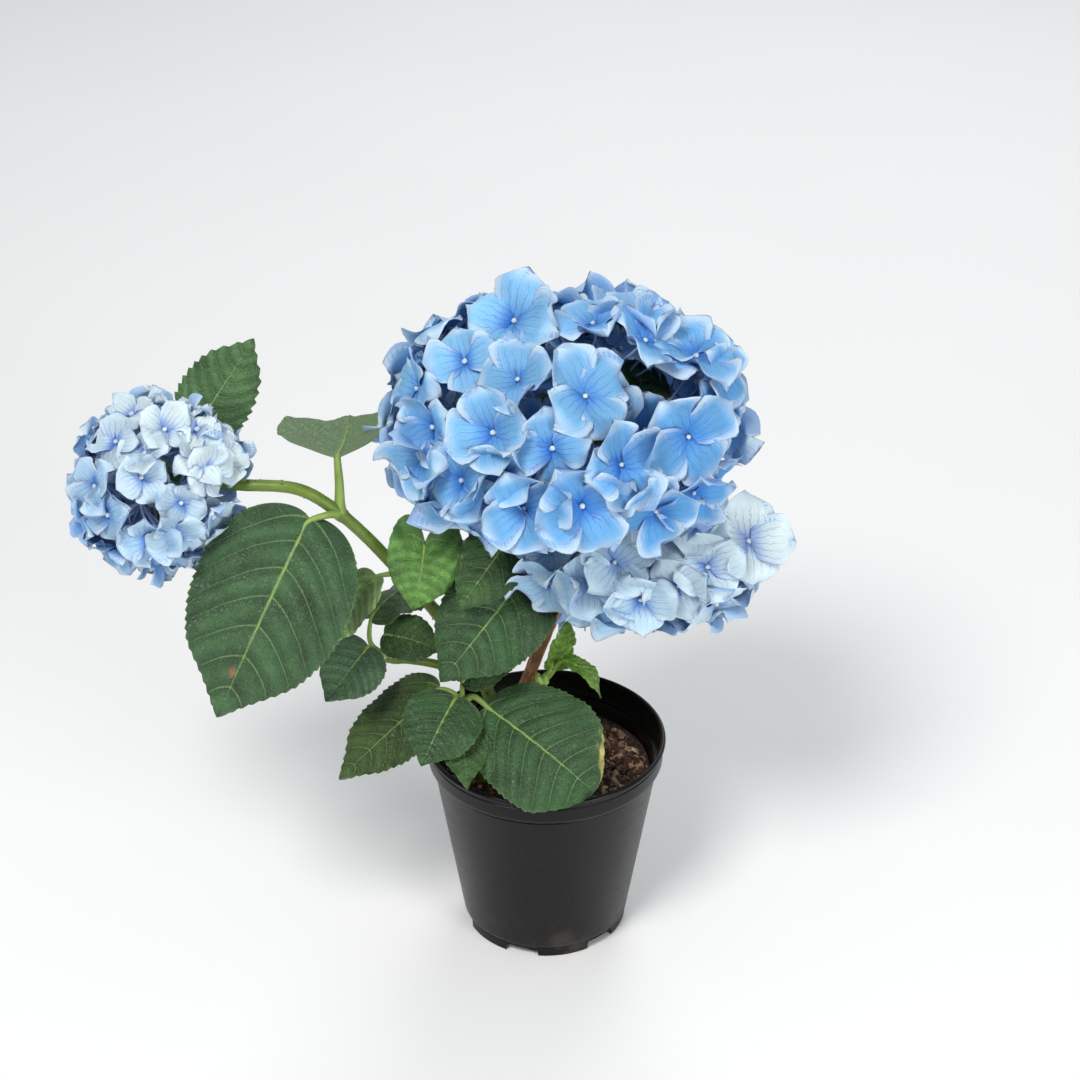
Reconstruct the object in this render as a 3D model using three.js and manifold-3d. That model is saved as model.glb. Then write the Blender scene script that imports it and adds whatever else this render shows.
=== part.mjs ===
// A young garden hydrangea in its black nursery pot: two woody canes from one crown, shoots with broad
// toothed leaves, one large mophead bloom over the pot and a smaller one on a long arm to the left.
// Millimetres, +Z up, +X to the right of the front, origin at the middle of the pot's flat underside.
import * as THREE from "three";
import { mergeVertices } from "three/addons/utils/BufferGeometryUtils.js";
import Module from "manifold-3d";

const wasm = await Module();
wasm.setup();

// Driving dimensions of the pot, a 13 cm nursery pot.
const RIM_RADIUS = 65;
const POT_HEIGHT = 117;
const FOOT_RADIUS = 44.5;
const FOOT_HEIGHT = 6;
const FOOT_STEP = 1;
const WALL = 1.5;
const FLOOR = 2.5;
const COLLAR_DEPTH = 15;
const COLLAR_INSET = 1.4;
const GROOVE_INSET = 4.8;
const GROOVE_HEIGHT = 1.6;
const LIP_HEIGHT = 4;
const LIP_ROUND = 1.2;
const LEDGE_DROP = 13;
const BEVEL = 0.6;
const POT_SIDES = 36;
const NOTCH_COUNT = 6;
const NOTCH_WIDTH = 17;
const NOTCH_REACH = 5;
const NOTCH_HEIGHT = 4.8;
const FIRST_NOTCH_AT = -107;

// The potting mix stands a little under the rim.
const SOIL_TOP = 98;
const SOIL_BEVEL = 2.5;
const SOIL_GAP = 0.72;
const FLOOR_HEIGHT = FOOT_HEIGHT + FLOOR;
const LEDGE_HEIGHT = POT_HEIGHT - LEDGE_DROP;
const CLEAR = 0.3;
const NEAREST = 0.28;

// Canes, petioles and the small stalks of the blooms.
const CANE_SIDES = 8;
const PETIOLE_SIDES = 4;
const STALK_SIDES = 3;
const MAIN_RADIUS = 3.5;
const MAIN_TOP_RADIUS = 2.6;
const FLARE = 1.6;
const FLARE_HEIGHT = 14;
const BURIED_DEPTH = 8;
const ARM_RADIUS = 3.7;
const ARM_TIP_RADIUS = 2.9;
const SHOOT_RADIUS = 2.6;
const SHOOT_TIP_RADIUS = 2.1;
const KNUCKLE_LENGTH = 9;
const KNUCKLE_HALF = KNUCKLE_LENGTH / 2;
const KNUCKLE_SWELL = 1.2;
const ROOM_MARGIN = 0.36;
const GROUND_BLOCK = 40;
const FRAME_STEPS = 200;

// Leaves: a blade is at least a hundredth of its length thick.
const BLADE_THICKNESS_SHARE = 0.013;
const BLADE_THINNEST = 0.6;
const BLADE_ROWS = 5;
const BLADE_COLUMNS = 4;
const WIDEST_AT = 0.4;
const TIP_FULLNESS = 0.8;
const BASE_LOBE = 0.1;
const PETIOLE_SUNK = 0.09;
const PETIOLE_RADIUS = 1.7;
const PETIOLE_TAPER = 0.6;
const PETIOLE_BOW = 2;

// Florets: four sepals round a bead, on a stalk.
const SEPALS = 4;
const NOTCH_SHARE = 0.4;
const SHOULDER_ANGLE = 24;
const SHOULDER_SHARE = 0.93;
const TIP_SHARE = 1.06;
const DISH = 0.16;
const FLORET_THICKNESS = 1.3;
const STALK_RADIUS = 0.9;
const STALK_LEAD = 0.16;
const MESH_TOLERANCE = 0.05;
const RAY_SHARE = 0.45;
const RAY_LEVELS = [-0.1, 0.35];
const RAY_SAG = 2;
const RAY_TAPER = 0.7;
const FORK_SWELL = 2.2;
const HUB_SWELL = 1.7;
const WOBBLE = 0.4;
const ROOM_SQUARENESS = 3;
const FLORET_DEPTHS = [0.88, 1.02];
const FLORET_SIZES = [0.85, 1.1];
const GOLDEN_ANGLE = Math.PI * (3 - Math.sqrt(5));

// Blooms and leaves are laid out as seen from the front, 30 degrees above the level.
const VIEW_ELEVATION = THREE.MathUtils.degToRad(30);
const VIEW_UP = new THREE.Vector3(0, Math.sin(VIEW_ELEVATION), Math.cos(VIEW_ELEVATION));
const VIEW_BACK = new THREE.Vector3(0, -Math.cos(VIEW_ELEVATION), Math.sin(VIEW_ELEVATION));

const finish = (color, roughness) => new THREE.MeshStandardMaterial({ color, roughness, metalness: 0 });
const BLACK_PLASTIC = finish(0x1b1b1c, 0.5);
const POTTING_MIX = finish(0x2a1c14, 0.95);
const BARK = finish(0x7a5238, 0.85);
const GREEN_CANE = finish(0x8fa43a, 0.55);
const DARK_LEAF = finish(0x2f5c38, 0.6);
const YOUNG_LEAF = finish(0x7da83c, 0.55);
const BLUE_BLOOM = finish(0x8fc0ee, 0.7);
const PALE_BLOOM = finish(0xc4dcf4, 0.7);

const vector = ([x, y, z]) => new THREE.Vector3(x, y, z);

// Seeded numbers from 0 to 1, the same each run.
function seeded(seed) {
  let state = seed;
  return () => {
    state = (Math.imul(state, 1664525) + 1013904223) >>> 0;
    return state / 4294967296;
  };
}

// A closed geometry as a solid that can be joined and cut.
function solidOf(geometry) {
  const bare = geometry.clone();
  bare.deleteAttribute("normal");
  bare.deleteAttribute("uv");
  const merged = mergeVertices(bare, 1e-4);
  return new wasm.Manifold(
    new wasm.Mesh({
      numProp: 3,
      vertProperties: new Float32Array(merged.attributes.position.array),
      triVerts: new Uint32Array(merged.index.array),
    }),
  );
}

function indexed(points, triangles) {
  const geometry = new THREE.BufferGeometry().setFromPoints(points);
  geometry.setIndex(triangles);
  return geometry;
}

// The largest body of a solid: loose scraps go, and hollows that joining sealed are filled.
function largest(solid) {
  return solid.decompose().reduce((most, body) => (body.volume() > most.volume() ? body : most));
}

// Pieces of one mass joined into one body, clear of the stretches of cane that it stands next to.
function fused(pieces, nextTo) {
  const joined = largest(wasm.Manifold.union(pieces)).simplify(MESH_TOLERANCE);
  return largest(trimmed(joined, nextTo)).simplify(MESH_TOLERANCE);
}

// One tapering limb: the stretch of a curve between two distances along it, with flat ends. Its sides
// follow the whole curve's own frames, so that stretches of one curve line up.
function limb(curve, from, to, radiusAt, sides, steps) {
  const length = curve.getLength();
  const frames = curve.computeFrenetFrames(FRAME_STEPS, false);
  const ring = [];
  const triangles = [];
  for (let i = 0; i <= steps; i++) {
    const distance = from + ((to - from) * i) / steps;
    const share = THREE.MathUtils.clamp(distance / length, 0, 1);
    const frame = Math.round(share * FRAME_STEPS);
    const middle = curve.getPointAt(share);
    for (let k = 0; k < sides; k++) {
      const turn = (2 * Math.PI * k) / sides;
      ring.push(
        middle
          .clone()
          .addScaledVector(frames.normals[frame], radiusAt(distance) * Math.cos(turn))
          .addScaledVector(frames.binormals[frame], radiusAt(distance) * Math.sin(turn)),
      );
    }
  }
  for (let i = 0; i < steps; i++) {
    for (let k = 0; k < sides; k++) {
      const a = i * sides + k;
      const b = i * sides + ((k + 1) % sides);
      triangles.push(a, b, a + sides, b, b + sides, a + sides);
    }
  }
  const last = steps * sides;
  for (let k = 1; k < sides - 1; k++) {
    triangles.push(0, k + 1, k, last, last + k, last + k + 1);
  }
  const made = solidOf(indexed(ring, triangles));
  if (made.volume() > 0) return made;
  const turned = [];
  for (let i = 0; i < triangles.length; i += 3) {
    turned.push(triangles[i], triangles[i + 2], triangles[i + 1]);
  }
  return solidOf(indexed(ring, turned));
}

// A thin tapering stalk through a few points.
function stalk(points, startRadius, endRadius, sides, steps) {
  const curve = new THREE.CatmullRomCurve3(points);
  const length = curve.getLength();
  const radiusAt = (distance) => THREE.MathUtils.lerp(startRadius, endRadius, distance / length);
  return limb(curve, 0, length, radiusAt, sides, steps);
}

// How wide a blade is along its midrib: round at the base, drawn out at the tip.
function bladeShare(t) {
  const baseFullness = (TIP_FULLNESS * WIDEST_AT) / (1 - WIDEST_AT);
  const peak = WIDEST_AT ** baseFullness * (1 - WIDEST_AT) ** TIP_FULLNESS;
  return (t ** baseFullness * (1 - t) ** TIP_FULLNESS) / peak;
}

// Where a point of a leaf lies: `t` from the base to the tip, `u` from the left margin at -1 to the
// right one at 1, `offset` off the middle of its thickness. `face` is the way its upper side looks,
// `arch` lifts its middle, `fold` lifts both halves off the midrib and `droop` lets the margins hang.
// Next to the stalk the margins reach back, which rounds the base.
function bladeSpot({ base, tip, face, width, arch = 0.08, fold = 14, droop = 0.12 }, t, u, offset) {
  const start = vector(base);
  const along = vector(tip).sub(start);
  const length = along.length();
  along.normalize();
  const up = vector(face);
  up.addScaledVector(along, -up.dot(along)).normalize();
  const side = new THREE.Vector3().crossVectors(along, up);
  const lean = THREE.MathUtils.degToRad(fold);
  const reach = (width / 2) * bladeShare(t);
  const rise = reach * (Math.abs(u) * Math.sin(lean) - droop * u * u) + length * arch * 4 * t * (1 - t);
  const lobe = BASE_LOBE * u * u * (1 - t) * (1 - t);
  return start
    .addScaledVector(along, length * (t - lobe))
    .addScaledVector(side, u * reach * Math.cos(lean))
    .addScaledVector(up, rise + offset);
}

// One leaf blade, a thin closed plate with a row of points across it at each step along its midrib.
function blade(leaf) {
  const length = vector(leaf.base).distanceTo(vector(leaf.tip));
  const halfThickness = Math.max(BLADE_THINNEST, length * BLADE_THICKNESS_SHARE) / 2;
  const rows = BLADE_ROWS + 1;
  const place = (row, column, offset) =>
    bladeSpot(leaf, row / rows, (2 * column) / BLADE_COLUMNS - 1, offset);
  const points = [];
  const triangles = [];
  const across = BLADE_COLUMNS + 1;
  for (const offset of [halfThickness, -halfThickness]) {
    points.push(place(0, BLADE_COLUMNS / 2, offset), place(rows, BLADE_COLUMNS / 2, offset));
    for (let row = 1; row < rows; row++) {
      for (let column = 0; column < across; column++) points.push(place(row, column, offset));
    }
  }
  const layer = 2 + BLADE_ROWS * across;
  const corner = (row, column) => 2 + (row - 1) * across + column;
  const both = (a, b, c) => triangles.push(a, b, c, a + layer, c + layer, b + layer);
  for (let column = 0; column < BLADE_COLUMNS; column++) {
    both(0, corner(1, column + 1), corner(1, column));
    both(1, corner(BLADE_ROWS, column), corner(BLADE_ROWS, column + 1));
    for (let row = 1; row < BLADE_ROWS; row++) {
      both(corner(row, column), corner(row, column + 1), corner(row + 1, column));
      both(corner(row, column + 1), corner(row + 1, column + 1), corner(row + 1, column));
    }
  }
  const edge = [0];
  for (let row = 1; row <= BLADE_ROWS; row++) edge.push(corner(row, BLADE_COLUMNS));
  edge.push(1);
  for (let row = BLADE_ROWS; row >= 1; row--) edge.push(corner(row, 0));
  edge.forEach((a, i) => {
    const b = edge[(i + 1) % edge.length];
    triangles.push(a, a + layer, b, b, a + layer, b + layer);
  });
  return solidOf(indexed(points, triangles));
}

// The two directions across a way, the first of them level where it can be.
function acrossOf(way) {
  const helper = Math.abs(way.z) > 0.9 ? new THREE.Vector3(1, 0, 0) : new THREE.Vector3(0, 0, 1);
  const right = new THREE.Vector3().crossVectors(helper, way).normalize();
  return [right, new THREE.Vector3().crossVectors(way, right)];
}

// A floret on its stalk, as one closed body: four pointed sepals dished round a middle, over a
// three-sided stalk that starts inside the hub it grows from.
function floret(from, centre, facing, size, spin) {
  const [right, top] = acrossOf(facing);
  const spot = (turn, reach, rise) =>
    centre
      .clone()
      .addScaledVector(right, reach * Math.cos(turn))
      .addScaledVector(top, reach * Math.sin(turn))
      .addScaledVector(facing, rise);
  const outline = [
    [-45, NOTCH_SHARE],
    [-SHOULDER_ANGLE, SHOULDER_SHARE],
    [0, TIP_SHARE],
    [SHOULDER_ANGLE, SHOULDER_SHARE],
  ];
  const count = SEPALS * outline.length;
  const points = [spot(0, 0, FLORET_THICKNESS / 2)];
  for (let i = 0; i < count; i++) {
    const [degrees, share] = outline[i % outline.length];
    const turn = THREE.MathUtils.degToRad(spin + degrees + (360 / SEPALS) * Math.floor(i / outline.length));
    const reach = (size / 2) * share;
    points.push(spot(turn, reach, DISH * reach));
  }
  const triangles = [];
  for (let i = 0; i < count; i++) triangles.push(0, 1 + i, 1 + ((i + 1) % count));
  const underside = spot(0, 0, -STALK_LEAD * size);
  const path = [spot(0, 0, -FLORET_THICKNESS / 2), underside, from];
  const rings = [];
  path.forEach((point, step) => {
    rings.push(points.length);
    const ahead = step ? path[step - 1].clone().sub(point).normalize() : facing;
    const [x, y] = step === 2 ? acrossOf(ahead) : [right, top];
    for (let k = 0; k < STALK_SIDES; k++) {
      const turn = THREE.MathUtils.degToRad(spin) + (2 * Math.PI * k) / STALK_SIDES;
      points.push(
        point
          .clone()
          .addScaledVector(x, STALK_RADIUS * Math.cos(turn))
          .addScaledVector(y, STALK_RADIUS * Math.sin(turn)),
      );
    }
  });
  let ringAt = 0;
  for (let i = 0; i < count; i++) {
    const a = 1 + i;
    const b = 1 + ((i + 1) % count);
    const here = rings[0] + (ringAt % STALK_SIDES);
    triangles.push(a, here, b);
    if ((i + 1) * STALK_SIDES >= (ringAt + 1) * count) {
      triangles.push(b, here, rings[0] + ((ringAt + 1) % STALK_SIDES));
      ringAt += 1;
    }
  }
  for (let step = 0; step < 2; step++) {
    for (let k = 0; k < STALK_SIDES; k++) {
      const next = (k + 1) % STALK_SIDES;
      const [a, b, c, d] = [rings[step] + k, rings[step] + next, rings[step + 1] + k, rings[step + 1] + next];
      triangles.push(a, c, b, b, c, d);
    }
  }
  triangles.push(rings[2], rings[2] + 2, rings[2] + 1);
  return solidOf(indexed(points, triangles));
}

// The swollen joint where stalks part, which hides their ends.
function hub(centre, radius) {
  return solidOf(new THREE.OctahedronGeometry(radius, 0).translate(centre.x, centre.y, centre.z));
}

const plant = new THREE.Group();
plant.name = "potted hydrangea";
const finished = [];

function add(group, name, solid, material) {
  const { vertProperties, triVerts, numProp } = solid.getMesh();
  const geometry = new THREE.BufferGeometry();
  const places = new THREE.InterleavedBuffer(new Float32Array(vertProperties), numProp);
  geometry.setAttribute("position", new THREE.InterleavedBufferAttribute(places, 3, 0));
  geometry.setIndex(new THREE.BufferAttribute(new Uint32Array(triVerts), 1));
  geometry.computeVertexNormals();
  const mesh = new THREE.Mesh(geometry, material);
  mesh.name = name;
  group.add(mesh);
  finished.push(solid);
}

// Whether a leaf or a floret keeps clear of every node that is there already.
const isClear = (solid) => finished.every((other) => solid.minGap(other, 2 * CLEAR) > NEAREST);

function groupOf(name) {
  const group = new THREE.Group();
  group.name = name;
  plant.add(group);
  return group;
}

// A body turned from its outline, a list of radius and height that starts and ends on the axis.
function lathed(outline) {
  const turned = new THREE.LatheGeometry(
    outline.map(([radius, height]) => new THREE.Vector2(radius, height)),
    POT_SIDES,
  );
  return solidOf(turned.rotateX(Math.PI / 2));
}

// The pot: a lathed shell with a rolled lip, a collar over a groove, a tapering body and a low foot
// that is notched for drainage.
function potShell() {
  const bodyTop = POT_HEIGHT - COLLAR_DEPTH;
  const lipFoot = POT_HEIGHT - LIP_HEIGHT;
  const collar = RIM_RADIUS - COLLAR_INSET;
  const groove = RIM_RADIUS - GROOVE_INSET;
  const outer = [
    [0, 0],
    [FOOT_RADIUS, 0],
    [FOOT_RADIUS, FOOT_HEIGHT - BEVEL],
    [FOOT_RADIUS - BEVEL, FOOT_HEIGHT],
    [FOOT_RADIUS + FOOT_STEP, FOOT_HEIGHT + BEVEL],
    [groove + BEVEL, bodyTop - FOOT_STEP],
    [groove, bodyTop],
    [groove + GROOVE_HEIGHT, bodyTop + BEVEL],
    [collar - BEVEL, bodyTop + GROOVE_HEIGHT],
    [collar, lipFoot - BEVEL],
    [RIM_RADIUS - BEVEL / 2, lipFoot],
    [RIM_RADIUS, lipFoot + LIP_ROUND],
    [RIM_RADIUS - BEVEL, POT_HEIGHT - BEVEL],
    [RIM_RADIUS - LIP_ROUND, POT_HEIGHT],
  ];
  const inner = [
    [RIM_RADIUS - 2 * LIP_ROUND, POT_HEIGHT - BEVEL],
    [collar - WALL, POT_HEIGHT - 2 * LIP_ROUND],
    [collar - WALL - BEVEL, LEDGE_HEIGHT + BEVEL],
    [groove - WALL, LEDGE_HEIGHT - BEVEL],
    [FOOT_RADIUS + FOOT_STEP - WALL, FLOOR_HEIGHT + FOOT_STEP],
    [FOOT_RADIUS - WALL - FOOT_STEP, FLOOR_HEIGHT],
    [0, FLOOR_HEIGHT],
  ];
  let shell = lathed([...outer, ...inner]);
  for (let i = 0; i < NOTCH_COUNT; i++) {
    const notch = new THREE.BoxGeometry(2 * NOTCH_REACH, NOTCH_WIDTH, 2 * NOTCH_HEIGHT);
    notch.translate(FOOT_RADIUS, 0, 0);
    notch.rotateZ(THREE.MathUtils.degToRad(FIRST_NOTCH_AT + (360 / NOTCH_COUNT) * i));
    shell = shell.subtract(solidOf(notch));
  }
  return shell;
}

// The potting mix fills the pot to a little under the rim, clear of the wall all round.
function soilBody() {
  const foot = FLOOR_HEIGHT + CLEAR;
  const wallFoot = FOOT_RADIUS + FOOT_STEP - WALL;
  const wallTop = RIM_RADIUS - GROOVE_INSET - WALL;
  const slope = (wallTop - wallFoot) / (LEDGE_HEIGHT - BEVEL - FLOOR_HEIGHT - FOOT_STEP);
  const wallAt = (z) => wallFoot + slope * (z - foot - FOOT_STEP) - SOIL_GAP;
  return lathed([
    [0, foot],
    [wallFoot - 2 * FOOT_STEP, foot],
    [wallAt(foot + SOIL_BEVEL), foot + SOIL_BEVEL],
    [wallAt(SOIL_TOP - SOIL_BEVEL), SOIL_TOP - SOIL_BEVEL],
    [wallAt(SOIL_TOP) - SOIL_BEVEL, SOIL_TOP],
    [0, SOIL_TOP],
  ]);
}

const container = groupOf("pot and mix");
add(container, "pot", potShell(), BLACK_PLASTIC);
add(container, "potting_mix", soilBody(), POTTING_MIX);

// Canes. Each is one curve that starts in the mix and is cut flat where it leaves it.
const GROUND = SOIL_TOP + CLEAR;
const BURIED = SOIL_TOP - BURIED_DEPTH;
const curveThrough = (rows) => new THREE.CatmullRomCurve3(rows.map(vector), false, "centripetal");
const MAIN = curveThrough([
  [-29, 12, BURIED],
  [-11, 11, 142],
  [4, 9, 185],
  [12, 7.6, 208],
  [21, 6, 234],
  [29, 4, 256],
  [45, 0, 303],
]);
const ARM = curveThrough([
  [-23, -3, BURIED],
  [-31, -2, 146],
  [-55, -6, 194],
  [-75, -12, 226],
  [-104, -20, 265],
  [-124, -22, 280],
  [-152, -21, 282],
  [-172, -18, 282],
  [-190, -15, 282],
]);
const SIDE_SHOOT = curveThrough([
  [-32, -2, 150],
  [-48, -7, 163],
  [-66, -13, 172],
  [-83, -20, 178],
]);
const LOW_SHOOT = curveThrough([
  [-35, -11, BURIED],
  [-40, -20, 130],
  [-44, -30, 160],
]);
const BACK_SHOOT = curveThrough([
  [-16, 25, BURIED],
  [-8, 36, 130],
  [-2, 48, 165],
]);

const taper = (curve, start, end) => {
  const length = curve.getLength();
  return (distance) => THREE.MathUtils.lerp(start, end, THREE.MathUtils.clamp(distance / length, 0, 1));
};
const flared = (radiusAt) => (distance) => {
  const share = Math.max(0, 1 - Math.max(0, distance - (GROUND - BURIED)) / FLARE_HEIGHT);
  return radiusAt(distance) + FLARE * share * share;
};
const MAIN_TAPER = flared(taper(MAIN, MAIN_RADIUS, MAIN_TOP_RADIUS));
const ARM_TAPER = flared(taper(ARM, ARM_RADIUS, ARM_TIP_RADIUS));
const SHOOT_TAPER = (curve) => taper(curve, SHOOT_RADIUS, SHOOT_TIP_RADIUS);

// How far along a curve one of its own points lies, counting from 0.
function distanceTo(curve, point) {
  const stretch = 40;
  return curve.getLengths(stretch * (curve.points.length - 1))[stretch * point];
}

// The nodes that carry leaves, and where the blooms start, are points of the two canes.
const MAIN_LEAVES_AT = distanceTo(MAIN, 3);
const MAIN_UPPER_LEAVES_AT = distanceTo(MAIN, 4);
const MAIN_BLOOM_AT = distanceTo(MAIN, 5);
const ARM_CURLED_AT = distanceTo(ARM, 3);
const ARM_PAIR_AT = distanceTo(ARM, 4);
const ARM_LAST_AT = distanceTo(ARM, 7);

const canes = groupOf("canes");
const groundBlock = new THREE.BoxGeometry(4 * RIM_RADIUS, 4 * RIM_RADIUS, GROUND_BLOCK);
const ground = solidOf(groundBlock.translate(0, 0, GROUND - GROUND_BLOCK / 2));

// The room that each stretch of cane takes up, with the clearance round it.
const rooms = new Map();
const trimmed = (solid, names) => names.reduce((rest, name) => rest.subtract(rooms.get(name)), solid);

// One stretch of a cane. The first stretch of a curve is cut flat at the ground, or 0.3 mm clear of the
// stretch of another cane that it stands on.
function cane({ name, curve, from = 0, to, radiusAt, material, steps, standsOn }) {
  const whole = limb(curve, from, to, radiusAt, CANE_SIDES, steps);
  const cut = standsOn ? trimmed(whole, [standsOn]) : whole.subtract(ground);
  add(canes, name, largest(cut), material);
  const wider = (distance) => radiusAt(distance) + ROOM_MARGIN;
  rooms.set(name, limb(curve, Math.max(0, from - ROOM_MARGIN), to + ROOM_MARGIN, wider, CANE_SIDES, steps));
}

cane({
  name: "main_stem_lower",
  curve: MAIN,
  to: MAIN_LEAVES_AT - KNUCKLE_HALF - CLEAR,
  radiusAt: MAIN_TAPER,
  material: BARK,
  steps: 6,
});
cane({
  name: "main_stem_middle",
  curve: MAIN,
  from: MAIN_LEAVES_AT + KNUCKLE_HALF + CLEAR,
  to: MAIN_UPPER_LEAVES_AT - KNUCKLE_HALF - CLEAR,
  radiusAt: MAIN_TAPER,
  material: BARK,
  steps: 2,
});
cane({
  name: "main_stem_upper",
  curve: MAIN,
  from: MAIN_UPPER_LEAVES_AT + KNUCKLE_HALF + CLEAR,
  to: MAIN_BLOOM_AT - CLEAR,
  radiusAt: MAIN_TAPER,
  material: BARK,
  steps: 2,
});
cane({
  name: "left_arm_lower",
  curve: ARM,
  to: ARM_CURLED_AT - KNUCKLE_HALF - CLEAR,
  radiusAt: ARM_TAPER,
  material: GREEN_CANE,
  steps: 8,
});
cane({
  name: "left_arm_middle",
  curve: ARM,
  from: ARM_CURLED_AT + KNUCKLE_HALF + CLEAR,
  to: ARM_PAIR_AT - KNUCKLE_HALF - CLEAR,
  radiusAt: ARM_TAPER,
  material: GREEN_CANE,
  steps: 3,
});
cane({
  name: "left_arm_outer",
  curve: ARM,
  from: ARM_PAIR_AT + KNUCKLE_HALF + CLEAR,
  to: ARM_LAST_AT - KNUCKLE_HALF - CLEAR,
  radiusAt: ARM_TAPER,
  material: GREEN_CANE,
  steps: 6,
});
const shootEnd = (curve) => curve.getLength() - KNUCKLE_LENGTH - CLEAR;
cane({
  name: "left_side_shoot",
  curve: SIDE_SHOOT,
  to: shootEnd(SIDE_SHOOT),
  radiusAt: SHOOT_TAPER(SIDE_SHOOT),
  material: GREEN_CANE,
  steps: 5,
  standsOn: "left_arm_lower",
});
cane({
  name: "low_front_shoot",
  curve: LOW_SHOOT,
  to: shootEnd(LOW_SHOOT),
  radiusAt: flared(SHOOT_TAPER(LOW_SHOOT)),
  material: GREEN_CANE,
  steps: 5,
});
cane({
  name: "back_shoot",
  curve: BACK_SHOOT,
  to: shootEnd(BACK_SHOOT),
  radiusAt: flared(SHOOT_TAPER(BACK_SHOOT)),
  material: GREEN_CANE,
  steps: 5,
});

// Foliage. A mass is the swollen node of its cane, with a petiole and a blade for each leaf.
const FRONT = [0, -0.87, 0.5];
const foliage = groupOf("foliage");

function petiole(from, leaf) {
  const thick = leaf.thick ?? PETIOLE_RADIUS;
  const base = vector(leaf.base);
  const halfway = from.clone().lerp(base, 0.5).add(new THREE.Vector3(0, 0, PETIOLE_BOW));
  const middle = leaf.via ? vector(leaf.via) : halfway;
  const end = bladeSpot(leaf, PETIOLE_SUNK, 0, 0);
  return stalk([from, middle, base, end], thick, thick * PETIOLE_TAPER, PETIOLE_SIDES, 5);
}

function leafMass(name, curve, at, radiusAt, nextTo, leaves) {
  const swollen = (distance) => radiusAt(distance) * KNUCKLE_SWELL;
  const pieces = [limb(curve, at - KNUCKLE_HALF, at + KNUCKLE_HALF, swollen, CANE_SIDES, 2)];
  const centre = curve.getPointAt(at / curve.getLength());
  for (const leaf of leaves) {
    const unit = wasm.Manifold.union([petiole(centre, leaf), blade(leaf)]);
    if (isClear(trimmed(unit, nextTo))) pieces.push(unit);
  }
  add(foliage, name, fused(pieces, nextTo), DARK_LEAF);
}

leafMass(
  "leaves_arm_pair",
  ARM,
  ARM_PAIR_AT,
  ARM_TAPER,
  ["left_arm_middle", "left_arm_outer"],
  [
    {
      base: [-105, -10, 292],
      tip: [-103, 50, 284],
      face: [0.1, -0.25, -1],
      via: [-104, -15, 278],
      width: 70,
      arch: 0.06,
      fold: -24,
      droop: 0,
      thick: 2.2,
    },
    {
      base: [-119, -29, 267],
      tip: [-165, -78, 180],
      face: FRONT,
      via: [-110, -27, 268],
      width: 83,
      arch: 0.07,
      fold: 10,
      droop: 0.16,
      thick: 2.2,
    },
  ],
);
leafMass(
  "leaves_curled_pair",
  ARM,
  ARM_CURLED_AT,
  ARM_TAPER,
  ["left_arm_lower", "left_arm_middle"],
  [
    {
      base: [-87, -16, 226],
      tip: [-107, -34, 197],
      face: [-0.5, -0.7, 0.5],
      via: [-80, -14, 226],
      width: 29,
      arch: 0.1,
      fold: 22,
    },
    {
      base: [-62, -16, 244],
      tip: [-67, -37, 218],
      face: [0.1, -1, 0.3],
      via: [-67, -8, 240],
      width: 46,
      arch: 0.12,
      fold: 34,
      droop: 0.3,
    },
  ],
);
leafMass(
  "leaves_side_shoot",
  SIDE_SHOOT,
  SIDE_SHOOT.getLength() - KNUCKLE_HALF,
  SHOOT_TAPER(SIDE_SHOOT),
  ["left_side_shoot"],
  [
    {
      base: [-92, -25, 189],
      tip: [-113, -50, 171],
      face: FRONT,
      via: [-87, -22, 184],
      width: 35,
      arch: 0.08,
    },
    {
      base: [-84, -15, 190],
      tip: [-54, -22, 184],
      face: [0, -0.6, 0.8],
      width: 28,
      via: [-84, -18, 182],
      arch: 0.1,
    },
    {
      base: [-91, -12, 198],
      tip: [-62, 22, 196],
      face: [-0.35, -0.2, 0.9],
      via: [-91, -18, 186],
      width: 36,
      arch: 0.16,
      fold: -10,
    },
  ],
);
leafMass(
  "leaves_low_shoot",
  LOW_SHOOT,
  LOW_SHOOT.getLength() - KNUCKLE_HALF,
  SHOOT_TAPER(LOW_SHOOT),
  ["low_front_shoot"],
  [
    {
      base: [-30, -32, 155],
      tip: [26, -65, 123],
      face: [0.05, -0.65, 0.76],
      via: [-38, -30, 161],
      width: 68,
      arch: 0.07,
      fold: 6,
      droop: 0.1,
      thick: 2,
    },
    {
      base: [-47, -36, 164],
      tip: [-64, -66, 142],
      face: [-0.1, -0.8, 0.6],
      width: 42,
      arch: 0.1,
      fold: 8,
    },
    {
      base: [-56, -20, 160],
      tip: [-108, -52, 124],
      face: [-0.2, -0.85, 0.5],
      via: [-49, -26, 161],
      width: 38,
      arch: 0.04,
      fold: 8,
    },
    {
      base: [-44, -24, 166],
      tip: [-6, 2, 181],
      face: [0.1, -0.5, 0.85],
      width: 26,
      arch: 0.08,
      fold: 10,
    },
    {
      base: [-44, -36, 152],
      tip: [-40, -72, 132],
      face: [0, -0.5, 0.85],
      via: [-44, -32, 157],
      width: 26,
      arch: 0.05,
    },
  ],
);
leafMass(
  "leaves_centre",
  MAIN,
  MAIN_LEAVES_AT,
  MAIN_TAPER,
  ["main_stem_lower", "main_stem_middle"],
  [
    {
      base: [-8, -6, 224],
      tip: [-54, -50, 183],
      face: [0.05, -0.85, 0.5],
      via: [5, 2, 214],
      width: 58,
      arch: 0.07,
      fold: 8,
      droop: 0.16,
    },
    {
      base: [34, 28, 212],
      tip: [66, 82, 182],
      face: [0.3, 0.5, 0.8],
      via: [22, 17, 210],
      width: 56,
      arch: 0.1,
    },
    {
      base: [-8, 34, 210],
      tip: [-44, 82, 184],
      face: [-0.3, 0.5, 0.8],
      via: [2, 18, 208],
      width: 52,
      arch: 0.1,
    },
  ],
);
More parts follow.
